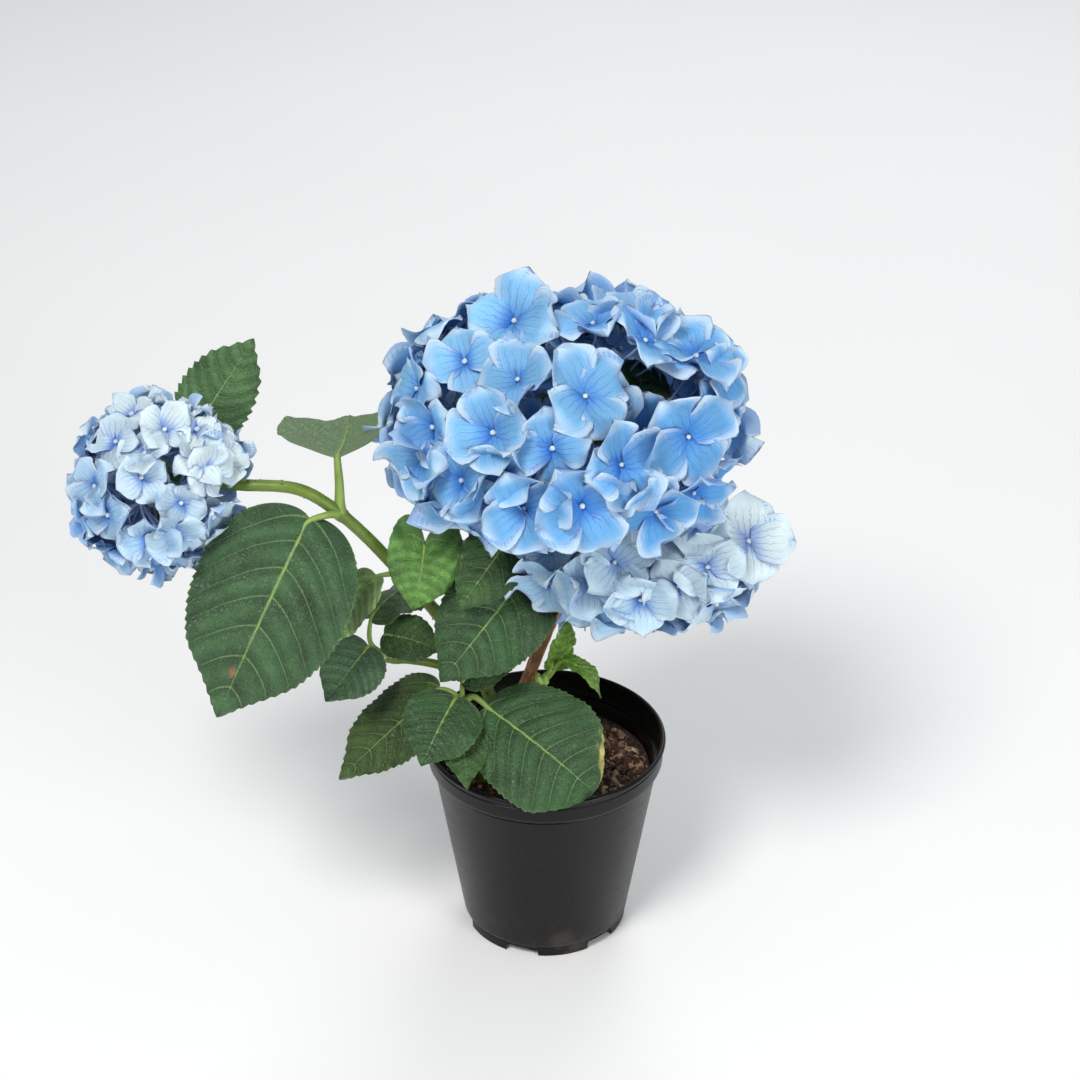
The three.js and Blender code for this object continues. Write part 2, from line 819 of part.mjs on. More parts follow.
leafMass(
  "leaves_upper",
  MAIN,
  MAIN_UPPER_LEAVES_AT,
  MAIN_TAPER,
  ["main_stem_middle", "main_stem_upper"],
  [
    {
      base: [-14, -8, 252],
      tip: [-45, -44, 222],
      face: [0.1, -0.85, 0.5],
      via: [6, -1, 243],
      width: 36,
      arch: 0.06,
      fold: 6,
    },
    {
      base: [20, 36, 240],
      tip: [14, 100, 214],
      face: [0, 0.5, 0.85],
      via: [22, 20, 238],
      width: 60,
      arch: 0.1,
    },
  ],
);
leafMass(
  "leaves_back_shoot",
  BACK_SHOOT,
  BACK_SHOOT.getLength() - KNUCKLE_HALF,
  SHOOT_TAPER(BACK_SHOOT),
  ["back_shoot"],
  [
    {
      base: [-10, 58, 170],
      tip: [-46, 104, 140],
      face: [-0.3, 0.6, 0.8],
      width: 50,
      arch: 0.1,
    },
    {
      base: [8, 58, 168],
      tip: [48, 100, 140],
      face: [0.3, 0.6, 0.8],
      width: 48,
      arch: 0.1,
    },
    {
      base: [-12, 44, 172],
      tip: [-62, 40, 166],
      face: [-0.3, 0.1, 0.95],
      width: 40,
      arch: 0.12,
    },
  ],
);
leafMass(
  "leaves_by_left_bloom",
  ARM,
  ARM_LAST_AT,
  ARM_TAPER,
  ["left_arm_outer"],
  [
    {
      base: [-181, 24, 289],
      tip: [-149, 38, 335],
      face: [0.1, -0.85, 0.5],
      via: [-168, 4, 284],
      width: 40,
      arch: 0.04,
      fold: 8,
    },
    {
      base: [-178, 28, 262],
      tip: [-239, 34, 222],
      face: [-0.3, -0.6, 0.7],
      via: [-166, 4, 272],
      width: 36,
      arch: 0.06,
    },
  ],
);

// The young sprout beside the main stem's foot.
const SPROUT = curveThrough([
  [-12, 11, 138],
  [-7, 6, 142],
  [-3, 2, 148],
]);
function sproutMass() {
  const stem = limb(SPROUT, 0, SPROUT.getLength(), () => SHOOT_RADIUS, CANE_SIDES, 3);
  const from = SPROUT.getPointAt(0.9);
  const leaves = [
    {
      base: [3, -1, 160],
      tip: [12, -3, 193],
      face: [0.45, -0.9, 0.1],
      via: [0, 2, 152],
      width: 21,
      arch: -0.05,
      fold: 40,
    },
    {
      base: [8, -3, 166],
      tip: [29, -14, 149],
      face: [0.2, -0.4, 0.9],
      via: [2, 1, 154],
      width: 11,
      arch: 0.3,
      fold: 24,
    },
  ];
  const pieces = [stem];
  for (const leaf of leaves) pieces.push(petiole(from, leaf), blade(leaf));
  add(foliage, "leaves_sprout", fused(pieces, ["main_stem_lower"]), YOUNG_LEAF);
}
sproutMass();

// Blooms. Shown florets are placed as seen from the front: millimetres across and up from the middle
// of the bloom, the size across, and the turn. The seeded rule fills the rest of the dome.
const blooms = groupOf("blooms");

function onDome(bloom, across, up) {
  const radii = vector(bloom.radii);
  const start = new THREE.Vector3(across, 0, 0).addScaledVector(VIEW_UP, up).divide(radii);
  const step = VIEW_BACK.clone().divide(radii);
  const a = step.dot(step);
  const b = start.dot(step);
  const c = start.dot(start) - 1;
  const travel = (-b + Math.sqrt(Math.max(0, b * b - a * c))) / a;
  return start.addScaledVector(step, travel).multiply(radii);
}

// Keeps a filling floret within the bloom's room: a rounded outline in the front view, that reaches so
// far left, right, down and up of its middle.
function keptInRoom(offset, [left, right, down, up]) {
  const height = offset.dot(VIEW_UP);
  const across = Math.abs(offset.x) / (offset.x < 0 ? left : right);
  const along = Math.abs(height) / (height < 0 ? down : up);
  const far = across ** ROOM_SQUARENESS + along ** ROOM_SQUARENESS;
  const kept = Math.min(1, far ** (-1 / ROOM_SQUARENESS));
  offset.addScaledVector(VIEW_UP, height * (kept - 1));
  offset.x *= kept;
  return offset;
}

function floretPlaces(bloom) {
  const random = seeded(bloom.seed);
  const radii = vector(bloom.radii);
  const axis = vector(bloom.axis).normalize();
  const [east, north] = acrossOf(axis);
  const places = bloom.shown.map(([across, up, size, spin]) => ({
    offset: onDome(bloom, across, up),
    size,
    spin,
  }));
  const lowest = Math.cos(THREE.MathUtils.degToRad(bloom.reach));
  for (let i = 0; i < bloom.count; i++) {
    const cosine = 1 - ((i + 0.5) / bloom.count) * (1 - lowest);
    const sine = Math.sqrt(1 - cosine * cosine);
    const turn = i * GOLDEN_ANGLE;
    const direction = axis
      .clone()
      .multiplyScalar(cosine)
      .addScaledVector(east, sine * Math.cos(turn))
      .addScaledVector(north, sine * Math.sin(turn));
    const depth = THREE.MathUtils.lerp(...FLORET_DEPTHS, random());
    const size = bloom.floret * THREE.MathUtils.lerp(...FLORET_SIZES, random());
    const spin = (360 / SEPALS) * random();
    const offset = keptInRoom(direction.multiply(radii).multiplyScalar(depth), bloom.room);
    const crowded = places.some((other) => other.offset.distanceTo(offset) < bloom.spacing * bloom.floret);
    if (!crowded) places.push({ offset, size, spin });
  }
  return places;
}

function bloomMass(name, bloom, stem, fork, nextTo, material) {
  const centre = vector(bloom.centre);
  const radii = vector(bloom.radii);
  const random = seeded(bloom.seed + 1);
  const ends = [];
  for (let i = 0; i < bloom.rays; i++) {
    const turn = (2 * Math.PI * i) / bloom.rays;
    const way = new THREE.Vector3(Math.cos(turn), Math.sin(turn), RAY_LEVELS[i % 2]).normalize();
    ends.push(centre.clone().add(way.multiply(radii).multiplyScalar(RAY_SHARE)));
  }
  ends.push(centre.clone().add(new THREE.Vector3(0, 0, radii.z * RAY_LEVELS[1])));
  const pieces = [stem, hub(fork, FORK_SWELL * bloom.rayRadius)];
  for (const leaf of bloom.leaves ?? []) pieces.push(petiole(fork, leaf), blade(leaf));
  for (const end of ends) {
    const middle = fork.clone().lerp(end, 0.5).add(new THREE.Vector3(0, 0, -RAY_SAG));
    pieces.push(stalk([fork, middle, end], bloom.rayRadius, bloom.rayRadius * RAY_TAPER, PETIOLE_SIDES, 2));
    pieces.push(hub(end, HUB_SWELL * bloom.rayRadius));
  }
  for (const { offset, size, spin } of floretPlaces(bloom)) {
    const place = centre.clone().add(offset);
    const wobble = new THREE.Vector3(random() - 0.5, random() - 0.5, random() - 0.5).multiplyScalar(WOBBLE);
    const facing = offset.clone().divide(radii).divide(radii).normalize().add(wobble).normalize();
    const nearest = ends.reduce((best, end) => (end.distanceTo(place) < best.distanceTo(place) ? end : best));
    const made = floret(nearest, place, facing, size, spin);
    if (isClear(made)) pieces.push(made);
  }
  add(blooms, name, fused(pieces, nextTo), material);
}

const MAIN_BLOOM = {
  centre: [11, 0, 305],
  radii: [88, 74, 66],
  room: [74, 70, 50, 53],
  axis: [-0.1, -0.1, 1],
  reach: 116,
  count: 84,
  floret: 46,
  spacing: 0.62,
  rays: 7,
  rayRadius: 1.9,
  seed: 7,
  shown: [
    [-26, 48, 50, 10],
    [7, 10, 46, 20],
    [24, -22, 46, 5],
    [57, -8, 48, 30],
    [-36, -7, 42, 25],
    [-24, 18, 40, 40],
    [36, 38, 46, 15],
    [62, 31, 48, 35],
    [-22, -42, 44, 20],
    [-58, 47, 44, 30],
    [-73, 16, 38, 15],
    [-65, -3, 36, 40],
    [-8, -14, 38, 12],
    [75, 22, 38, 25],
    [-51, -29, 38, 35],
    [-70, -18, 38, 8],
    [6, -41, 50, 28],
    [42, -43, 42, 16],
  ],
  leaves: [
    { base: [40, 8, 284], tip: [52, 30, 334], face: FRONT, width: 40, arch: 0.06 },
    { base: [24, 14, 284], tip: [2, 44, 330], face: FRONT, width: 34, arch: 0.06 },
  ],
};
const LOWER_BLOOM = {
  centre: [52, -4, 234],
  radii: [75, 37, 34],
  room: [56, 42, 34, 30],
  axis: [0.15, -0.75, -0.6],
  reach: 72,
  count: 14,
  floret: 36,
  spacing: 0.62,
  rays: 3,
  rayRadius: 1.4,
  seed: 19,
  shown: [
    [50, 5, 44, 0],
    [29, -8, 36, 20],
    [-18, -6, 38, 35],
    [-50, 2, 38, 10],
    [15, -17, 34, 30],
    [4, 8, 34, 15],
  ],
};
const LEFT_BLOOM = {
  centre: [-193, -10, 277],
  radii: [45, 43, 43],
  room: [37, 33, 35, 33],
  axis: [-1, -0.1, 0.15],
  reach: 150,
  count: 66,
  floret: 28,
  spacing: 0.68,
  rays: 6,
  rayRadius: 1.5,
  seed: 31,
  shown: [
    [-22, -16, 29, 20],
    [-3, -28, 29, 8],
    [-3, 13, 27, 35],
    [-18, 19, 28, 20],
    [-5, 2, 26, 28],
    [22, 10, 28, 12],
    [5, 25, 28, 40],
    [10, -25, 29, 25],
    [26, 5, 27, 18],
  ],
};

const MAIN_STALK_LENGTH = 13;
const NEAR_END = 0.98;
const mainHub = MAIN.getPointAt((MAIN_BLOOM_AT + NEAR_END * MAIN_STALK_LENGTH) / MAIN.getLength());
const armHub = ARM.getPointAt(NEAR_END);
bloomMass(
  "bloom_main",
  MAIN_BLOOM,
  limb(MAIN, MAIN_BLOOM_AT, MAIN_BLOOM_AT + MAIN_STALK_LENGTH, MAIN_TAPER, CANE_SIDES, 2),
  mainHub,
  ["main_stem_upper"],
  BLUE_BLOOM,
);
// The lowest tier of the large bloom hangs to the right on its own side stalk.
const LOWER_STALK_RADIUS = 1.8;
const LOWER_STALK = curveThrough([
  [25, 5, 246],
  [33, 0, 240],
  [44, -8, 232],
]);
bloomMass(
  "bloom_lower",
  LOWER_BLOOM,
  limb(LOWER_STALK, 0, LOWER_STALK.getLength(), () => LOWER_STALK_RADIUS, CANE_SIDES, 3),
  LOWER_STALK.getPointAt(NEAR_END),
  ["main_stem_upper"],
  PALE_BLOOM,
);
bloomMass(
  "bloom_left",
  LEFT_BLOOM,
  limb(ARM, ARM_LAST_AT + KNUCKLE_HALF + CLEAR, ARM.getLength(), ARM_TAPER, CANE_SIDES, 2),
  armHub,
  ["left_arm_outer"],
  PALE_BLOOM,
);

export default plant;
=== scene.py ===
"""Dresses the potted hydrangea: a nursery pot of mix, leafy canes and three tiers of blue florets.

The canes, leaves and blooms grow by the same rules and from the same places as the solids, with
finer meshes: veined and toothed blades, four cupped sepals to a floret, bark and moulded plastic.
Sizes are millimetres until a mesh is made, which is in metres.
"""

from __future__ import annotations

import logging
import math
from dataclasses import dataclass
from enum import Enum
from typing import Callable, Iterable, Iterator, Sequence

import bpy
import numpy as np
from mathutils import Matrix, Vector

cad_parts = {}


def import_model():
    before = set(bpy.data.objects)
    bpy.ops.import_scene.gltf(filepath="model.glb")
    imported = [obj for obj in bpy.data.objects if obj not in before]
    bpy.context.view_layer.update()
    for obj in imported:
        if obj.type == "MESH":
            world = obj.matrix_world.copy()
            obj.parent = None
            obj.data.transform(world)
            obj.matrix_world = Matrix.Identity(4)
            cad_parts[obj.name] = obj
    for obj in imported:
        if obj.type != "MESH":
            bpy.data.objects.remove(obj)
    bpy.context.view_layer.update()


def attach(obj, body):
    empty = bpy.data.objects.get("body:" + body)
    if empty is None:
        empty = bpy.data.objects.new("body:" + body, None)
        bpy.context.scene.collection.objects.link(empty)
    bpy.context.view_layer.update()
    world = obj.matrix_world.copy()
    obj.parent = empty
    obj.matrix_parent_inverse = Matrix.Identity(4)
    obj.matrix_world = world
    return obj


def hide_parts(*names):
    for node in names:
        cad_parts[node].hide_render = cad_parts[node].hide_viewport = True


log = logging.getLogger("hydrangea")

MM = 0.001

# The view that the plant is arranged for.
VIEW_ELEVATION = math.radians(30.04)
VIEW_TARGET = (-3.0, 0.0, 238.0)
VIEW_DISTANCE = 1318.0
VIEW_LENS = 85.0
VIEW_SENSOR = 36.0
VIEW_UP = np.array([0, math.sin(VIEW_ELEVATION), math.cos(VIEW_ELEVATION)])
TO_VIEWER = np.array([0, -math.cos(VIEW_ELEVATION), math.sin(VIEW_ELEVATION)])

# The pot and the mix, as in the solids.
RIM_RADIUS = 65.0
POT_HEIGHT = 117.0
FOOT_RADIUS = 44.5
FOOT_HEIGHT = 6.0
FOOT_STEP = 1.0
WALL = 1.5
FLOOR_HEIGHT = 8.5
COLLAR_DEPTH = 15.0
COLLAR_INSET = 1.4
GROOVE_INSET = 4.8
LIP_HEIGHT = 4.0
LEDGE_HEIGHT = 104.0
NOTCH_COUNT = 6
NOTCH_WIDTH = 17.0
NOTCH_REACH = 5.0
NOTCH_HEIGHT = 4.8
FIRST_NOTCH_AT = -107.0
SOIL_TOP = 98.0
BURIED = 90.0
MIDDLE_RING = 0.4

# Canes. A shoot's radii are those of its foot and its tip.
SHOOT_RADII = (2.6, 2.1)
FLARE = 1.6
FLARE_HEIGHT = 14.0
KNUCKLE_SWELL = 0.2
KNUCKLE_REACH = 3.2
KNUCKLE_HALF = 4.5
SCAR_RISE = 0.18
SCAR_DROP = 2.4
SCAR_HALF = 0.5
BARK_RELIEF = 0.055
RIND_RELIEF = 0.02
MAIN_STALK_LENGTH = 13
NEAR_END = 0.98

# Leaves.
WIDEST_AT = 0.4
TIP_FULLNESS = 0.8
FULLNESS = TIP_FULLNESS * WIDEST_AT / (1 - WIDEST_AT)
FULL_WIDTH = WIDEST_AT**FULLNESS * (1 - WIDEST_AT) ** TIP_FULLNESS
BASE_LOBE = 0.1
PETIOLE_SUNK = 0.09
PETIOLE_RADIUS = 1.7
LARGE_LEAF = 60.0
TIP_NARROWING = 0.42
TOOTH_ROWS = 5
SIDE_VEINS = 7.0
VEIN_SWEEP = 0.36
VEIN_BEND = 1.5
VEIN_CROWDING = 0.9
BASE_VEINS = 0.55

# Blooms.
SEPALS = 4
SEPAL_ROWS = 13
SEPAL_COLUMNS = 9
SEPAL_WIDEST_AT = 0.5625
SEPAL_FULLNESS = 0.72
SEPAL_TIP_FULLNESS = 0.56
SEPAL_WEIGHT = 0.2
SEPAL_STEP = 0.75
RAY_SHARE = 0.45
RAY_LEVELS = (-0.1, 0.35)
FLORET_DEPTHS = (0.88, 1.02)
FLORET_SIZES = (0.85, 1.1)
FLORET_GAIN = 1.09
WOBBLE = 0.62
ROOM_SQUARENESS = 3
UNDER_DEPTH = 0.66
UNDER_SIZE = 0.8
STALK_LEAD = 0.16
BEAD_RISE = 1.6
GOLDEN_ANGLE = math.pi * (3 - math.sqrt(5))

# Flat maps: the rim that stays free in each patch's square.
MAP_RIM = 0.02

FRONT = (0.0, -0.87, 0.5)
Colour = tuple[float, float, float]
Triple = tuple[float, float, float]
Spot = tuple[float, float, float, float]


def rgb(red: int, green: int, blue: int) -> Colour:
    """Turns a colour as a screen shows it, 0 to 255, into the linear values of a shader."""
    return tuple((channel / 255) ** 2.2 for channel in (red, green, blue))


DRIED = rgb(176, 164, 98)
SCAR = rgb(134, 92, 66)


class Tone(Enum):
    """The colours that the leaves come in."""

    DARK = rgb(50, 80, 40)
    BROAD = rgb(52, 84, 53)
    FRESH = rgb(46, 80, 45)
    OLIVE = rgb(50, 74, 28)
    BLUISH = rgb(66, 95, 68)
    # Painted sheen: a lighter green that stands for glossy highlights on a crumpled leaf and makes up for the
    # blooms' shade.
    GLOSSY = rgb(88, 130, 62)
    SAGE = rgb(72, 104, 66)
    PALE = rgb(86, 118, 76)
    # Painted light: a paler green for a leaf in the shade of the large leaf above it, lighter to make up for
    # that shade.
    SHADED = rgb(140, 172, 108)
    YOUNG = rgb(106, 146, 56)


class Hue(Enum):
    """The colours that the florets come in."""

    DEEP = rgb(64, 146, 214)
    BLUE = rgb(98, 174, 232)
    SKY = rgb(142, 202, 244)
    WHITE = rgb(226, 240, 238)


def lerp(start: float, end: float, share: float) -> float:
    """Goes from one value to another by a share."""
    return start + (end - start) * share


def unit(way: Sequence[float]) -> np.ndarray:
    """A direction of length one."""
    arrow = np.asarray(way, float)
    return arrow / np.linalg.norm(arrow)


def smooth(low: float, high: float, value: np.ndarray) -> np.ndarray:
    """A soft step from 0 at `low` to 1 at `high`."""
    share = np.clip((value - low) / (high - low), 0, 1)
    return share * share * (3 - 2 * share)


def hump(value: np.ndarray, half: float) -> np.ndarray:
    """A soft hump of height 1 where the value is 0, about `half` wide on each side."""
    return np.exp(-((value / half) ** 2))


def across_of(way: np.ndarray) -> tuple[np.ndarray, np.ndarray]:
    """The two directions across a way.

    Args:
        way: a direction of length one.

    Returns:
        The one that is level, where it can be, and the one across both.
    """
    helper = np.array([1.0, 0, 0]) if abs(way[2]) > 0.9 else np.array([0, 0, 1.0])
    right = unit(np.cross(helper, way))
    return right, np.cross(way, right)


class Dice:
    """Seeded numbers from 0 to 1, the same each run."""

    def __init__(self, seed: int) -> None:
        """Starts the series at its seed."""
        self.state = seed

    def roll(self) -> float:
        """The next number."""
        self.state = (self.state * 1664525 + 1013904223) % 2**32
        return self.state / 2**32

    def between(self, low: float, high: float) -> float:
        """The next number, spread from `low` to `high`."""
        return lerp(low, high, self.roll())


class Route:
    """A smooth curve through a few points, measured along its length in millimetres."""

    STEPS = 60

    def __init__(self, points: Sequence[Sequence[float]]) -> None:
        """Lays the line through its points.

        Args:
            points: the points, in millimetres.
        """
        given = np.asarray(points, float)
        padded = np.vstack([2 * given[0] - given[1], given, 2 * given[-1] - given[-2]])
        share = np.linspace(0, 1, self.STEPS, endpoint=False)[:, None]
        stretches = []
        for before, start, end, after in zip(padded, padded[1:], padded[2:], padded[3:]):
            pairs = (before, start), (start, end), (end, after)
            first, middle, last = (math.sqrt(np.linalg.norm(b - a)) for a, b in pairs)
            leaving = (start - before) / first - (end - before) / (first + middle) + (end - start) / middle
            coming = (end - start) / middle - (after - start) / (middle + last) + (after - end) / last
            leaving, coming = leaving * middle, coming * middle
            square = 3 * (end - start) - 2 * leaving - coming
            cube = 2 * (start - end) + leaving + coming
            stretches.append(start + leaving * share + square * share**2 + cube * share**3)
        self.line = np.vstack([*stretches, given[-1:]])
        steps = np.linalg.norm(np.diff(self.line, axis=0), axis=1)
        self.travel = np.concatenate([[0], np.cumsum(steps)])
        self.length = float(self.travel[-1])

    def mark(self, index: int) -> float:
        """How far along one of the given points lies."""
        return float(self.travel[index * self.STEPS])

    def at(self, distance: np.ndarray | float) -> np.ndarray:
        """The point, or points, that far along."""
        return np.stack([np.interp(distance, self.travel, self.line[:, axis]) for axis in range(3)], -1)

    @property
    def last_node(self) -> float:
        """How far along the leaf node at its tip lies."""
        return self.length - KNUCKLE_HALF


@dataclass
class Patch:
    """A closed skin of rings of points, with what its finish reads at each point.

    Args:
        rings: points as rows, ring and coordinate, each ring running round the skin.
        place: three numbers at each point, such as the share along and across a leaf.
        tint: the colour of the whole patch.
        chance: a number from 0 to 1 that tells the patch from its neighbours.
        shades: the colour at each point of the rings, where it isn't the same all over.
    """

    rings: np.ndarray
    place: np.ndarray
    tint: Colour = (0.5, 0.5, 0.5)
    chance: float = 0.5
    shades: np.ndarray | None = None

    @staticmethod
    def closed(grid: np.ndarray) -> np.ndarray:
        """What a grid holds at each point, with the middle of each end last."""
        return np.vstack([grid.reshape(-1, 3), grid[0].mean(0), grid[-1].mean(0)])

    def colours(self) -> np.ndarray:
        """The colour and the chance number at each point.

        Returns:
            Four numbers a point, with those of the two ends last.
        """
        colours = np.tile([*self.tint, self.chance], (self.rings.shape[0] * self.rings.shape[1] + 2, 1))
        if self.shades is not None:
            colours[:-2, :3] = self.shades.reshape(-1, 3)
        return colours

    def faces(self) -> tuple[np.ndarray, np.ndarray]:
        """The faces of the skin, by the numbers of their points.

        Returns:
            The four-sided ones between rings, and the three-sided ones that close the ends.
        """
        rows, around = self.rings.shape[:2]
        index = np.arange(rows * around).reshape(rows, around)
        after = np.roll(index, -1, axis=1)
        quads = np.stack([index[:-1], after[:-1], after[1:], index[1:]], -1).reshape(-1, 4)
        first = np.full(around, rows * around)
        start = np.stack([after[0], index[0], first], -1)
        end = np.stack([index[-1], after[-1], first + 1], -1)
        return quads, np.vstack([start, end])

    def spread(self) -> tuple[np.ndarray, np.ndarray]:
        """The flat map of the skin, in a square from 0 to 1.

        Returns:
            The map of the four-sided faces, and of the three-sided ones, a corner a row.
        """
        rows, around = self.rings.shape[:2]
        along, turn = np.meshgrid(np.arange(rows - 1), np.arange(around), indexing="ij")
        steps = np.linalg.norm(np.diff(self.rings, axis=0), axis=2).mean(1)
        steps = steps / steps.sum() + 0.3 / (rows - 1)
        heights = MAP_RIM + (1 - 2 * MAP_RIM) * np.concatenate([[0], np.cumsum(steps)]) / steps.sum()
        low, high = heights[along], heights[along + 1]
        left, right = turn / around, (turn + 1) / around
        quads = np.stack([left, low, right, low, right, high, left, high], -1).reshape(-1, 2)
        left, right = np.arange(around) / around, (np.arange(around) + 1) / around
        middle, flat = (left + right) / 2, np.zeros(around)
        start = np.stack([right, flat + MAP_RIM, left, flat + MAP_RIM, middle, flat], -1)
        end = np.stack([left, flat + 1 - MAP_RIM, right, flat + 1 - MAP_RIM, middle, flat + 1], -1)
        return quads, np.vstack([start.reshape(-1, 2), end.reshape(-1, 2)])


def linked(name: str, data: bpy.types.ID) -> bpy.types.Object:
    """A new object of the scene that shows a mesh, a lamp or a camera.

    Args:
        name: its name.
        data: the mesh, the lamp or the camera.

    Returns:
        The object.
    """
    made = bpy.data.objects.new(name, data)
    bpy.context.scene.collection.objects.link(made)
    return made


def settle(piece: bpy.types.Object, stands_for: Sequence[str] = ()) -> bpy.types.Object:
    """Lets a piece ride on the plant, in the place of its solids.

    Args:
        piece: the piece.
        stands_for: the solids that it stands for.

    Returns:
        The same piece.
    """
    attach(piece, "root")
    if stands_for:
        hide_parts(*stands_for)
    log.info("%s: %d faces", piece.name, len(piece.data.polygons))
    return piece


def make_piece(
    name: str,
    patches: Sequence[Patch],
    material: bpy.types.Material,
    stands_for: Sequence[str] = (),
    sharp: float | None = None,
) -> bpy.types.Object:
    """Joins patches into one mesh object that rides on the plant.

    Args:
        name: the piece's name.
        patches: the skins, in millimetres.
        material: its finish.
        stands_for: the solids that it stands for.
        sharp: past this angle in degrees between two faces their edge is drawn sharp.

    Returns:
        The new object.
    """
    points, faces, maps = [], ([], []), ([], [])
    across = math.ceil(math.sqrt(len(patches)))
    start = 0
    for number, patch in enumerate(patches):
        corner = np.array([number % across, number // across])
        for kind, (own, spread) in enumerate(zip(patch.faces(), patch.spread())):
            faces[kind].append(own + start)
            maps[kind].append((corner + MAP_RIM + (1 - 2 * MAP_RIM) * spread) / across)
        points.append(patch.closed(patch.rings))
        start += len(points[-1])
    mesh = bpy.data.meshes.new(name)
    corners = [face.tolist() for kind in faces for face in np.vstack(kind)]
    mesh.from_pydata((np.vstack(points) * MM).tolist(), [], corners)
    bake = mesh.uv_layers.new(name="OFBake")
    bake.data.foreach_set("uv", np.vstack([*maps[0], *maps[1]]).astype(np.float32).ravel())
    places = np.vstack([patch.closed(patch.place) for patch in patches])
    tints = np.vstack([patch.colours() for patch in patches])
    for label, key, kind, values in (
        ("place", "vector", "FLOAT_VECTOR", places),
        ("tint", "color", "FLOAT_COLOR", tints),
    ):
        mesh.attributes.new(label, kind, "POINT").data.foreach_set(key, values.astype(np.float32).ravel())
    mesh.polygons.foreach_set("use_smooth", np.ones(len(mesh.polygons), bool))
    mesh.materials.append(material)
    mesh.update()
    if sharp is not None:
        mesh.set_sharp_from_angle(angle=math.radians(sharp))
    return settle(linked(name, mesh), stands_for)


def tube(
    route: Route,
    end: float,
    radius_at: Callable[[np.ndarray, np.ndarray], np.ndarray],
    around: int,
    steps: int,
    tint: Colour = (0.5, 0.5, 0.5),
) -> Patch:
    """A closed round skin along a route.

    Args:
        route: the middle line.
        end: where the skin ends, in millimetres along it.
        radius_at: gives the radius for distances, as a column, and turns, as a row.
        around: points round the tube.
        steps: rings along it.
        tint: its colour.

    Returns:
        The patch, whose places hold the distance, the turn from 0 to 1 and 0.
    """
    distance = np.linspace(0.0, end, steps + 1)
    middle = route.at(distance)
    ways = np.gradient(middle, axis=0)
    ways /= np.linalg.norm(ways, axis=1)[:, None]
    sides = [across_of(ways[0])[0]]
    for way in ways:
        sides.append(unit(sides[-1] - way * sides[-1].dot(way)))
    sides = np.array(sides[1:])
    others = np.cross(ways, sides)
    turn = np.linspace(0, 2 * math.pi, around, endpoint=False)
    radius = radius_at(distance[:, None], turn[None, :])[..., None]
    out = sides[:, None] * np.cos(turn)[None, :, None] + others[:, None] * np.sin(turn)[None, :, None]
    place = np.zeros((steps + 1, around, 3))
    place[..., 0] = distance[:, None]
    place[..., 1] = turn[None, :] / (2 * math.pi)
    return Patch(middle[:, None] + out * radius, place, tint)


def turned(profile: Sequence[tuple[float, float]], around: int) -> np.ndarray:
    """Turns a profile round the upright axis.

    Args:
        profile: radius and height of each ring.
        around: points round each ring.

    Returns:
        The points, by ring and by place round it.
    """
    turn = np.linspace(0, 2 * math.pi, around, endpoint=False)
    radius, height = np.array(profile, float).T[..., None]
    return np.stack([radius * np.cos(turn), radius * np.sin(turn), height + 0 * turn], -1)


NUMBER, VECTOR, COLOUR = "NodeSocketFloat", "NodeSocketVector", "NodeSocketColor"


def sign(operation: str, swapped: bool = False) -> Callable[..., Value]:
    """Makes a method of Value that reckons with it and another.

    Args:
        operation: what a math node calls it.
        swapped: whether the other comes first.

    Returns:
        The method.
    """

    def reckon(self: Value, *other: float | Value) -> Value:
        """What the math node gives."""
        return self.wiring.math(operation, *((*other, self) if swapped else (self, *other)))

    return reckon


class Value:
    """What an output socket gives, which Python's own signs reckon with."""

    def __init__(self, wiring: Wiring, socket: bpy.types.NodeSocket) -> None:
        """Holds a socket, and the wiring that it belongs to."""
        self.wiring = wiring
        self.socket = socket

    __add__ = sign("ADD")
    __radd__ = sign("ADD", swapped=True)
    __sub__ = sign("SUBTRACT")
    __rsub__ = sign("SUBTRACT", swapped=True)
    __mul__ = sign("MULTIPLY")
    __truediv__ = sign("DIVIDE")
    __pow__ = sign("POWER")
    __abs__ = sign("ABSOLUTE")
    most = sign("MAXIMUM")
    least = sign("MINIMUM")

    def step(self, low: float, high: float, to_low: float = 0.0, to_high: float = 1.0) -> Value:
        """A soft step of this from one range to another.

        Args:
            low: where the step starts, which may be the larger end.
            high: where it ends.
            to_low: what it gives at its start.
            to_high: what it gives at its end.

        Returns:
            The stepped value.
        """
        settings = {"interpolation_type": "SMOOTHSTEP"}
        limits = {"From_Min": low, "From_Max": high, "To_Min": to_low, "To_Max": to_high}
        return self.wiring.add("ShaderNodeMapRange", 0, settings, Value=self, **limits)


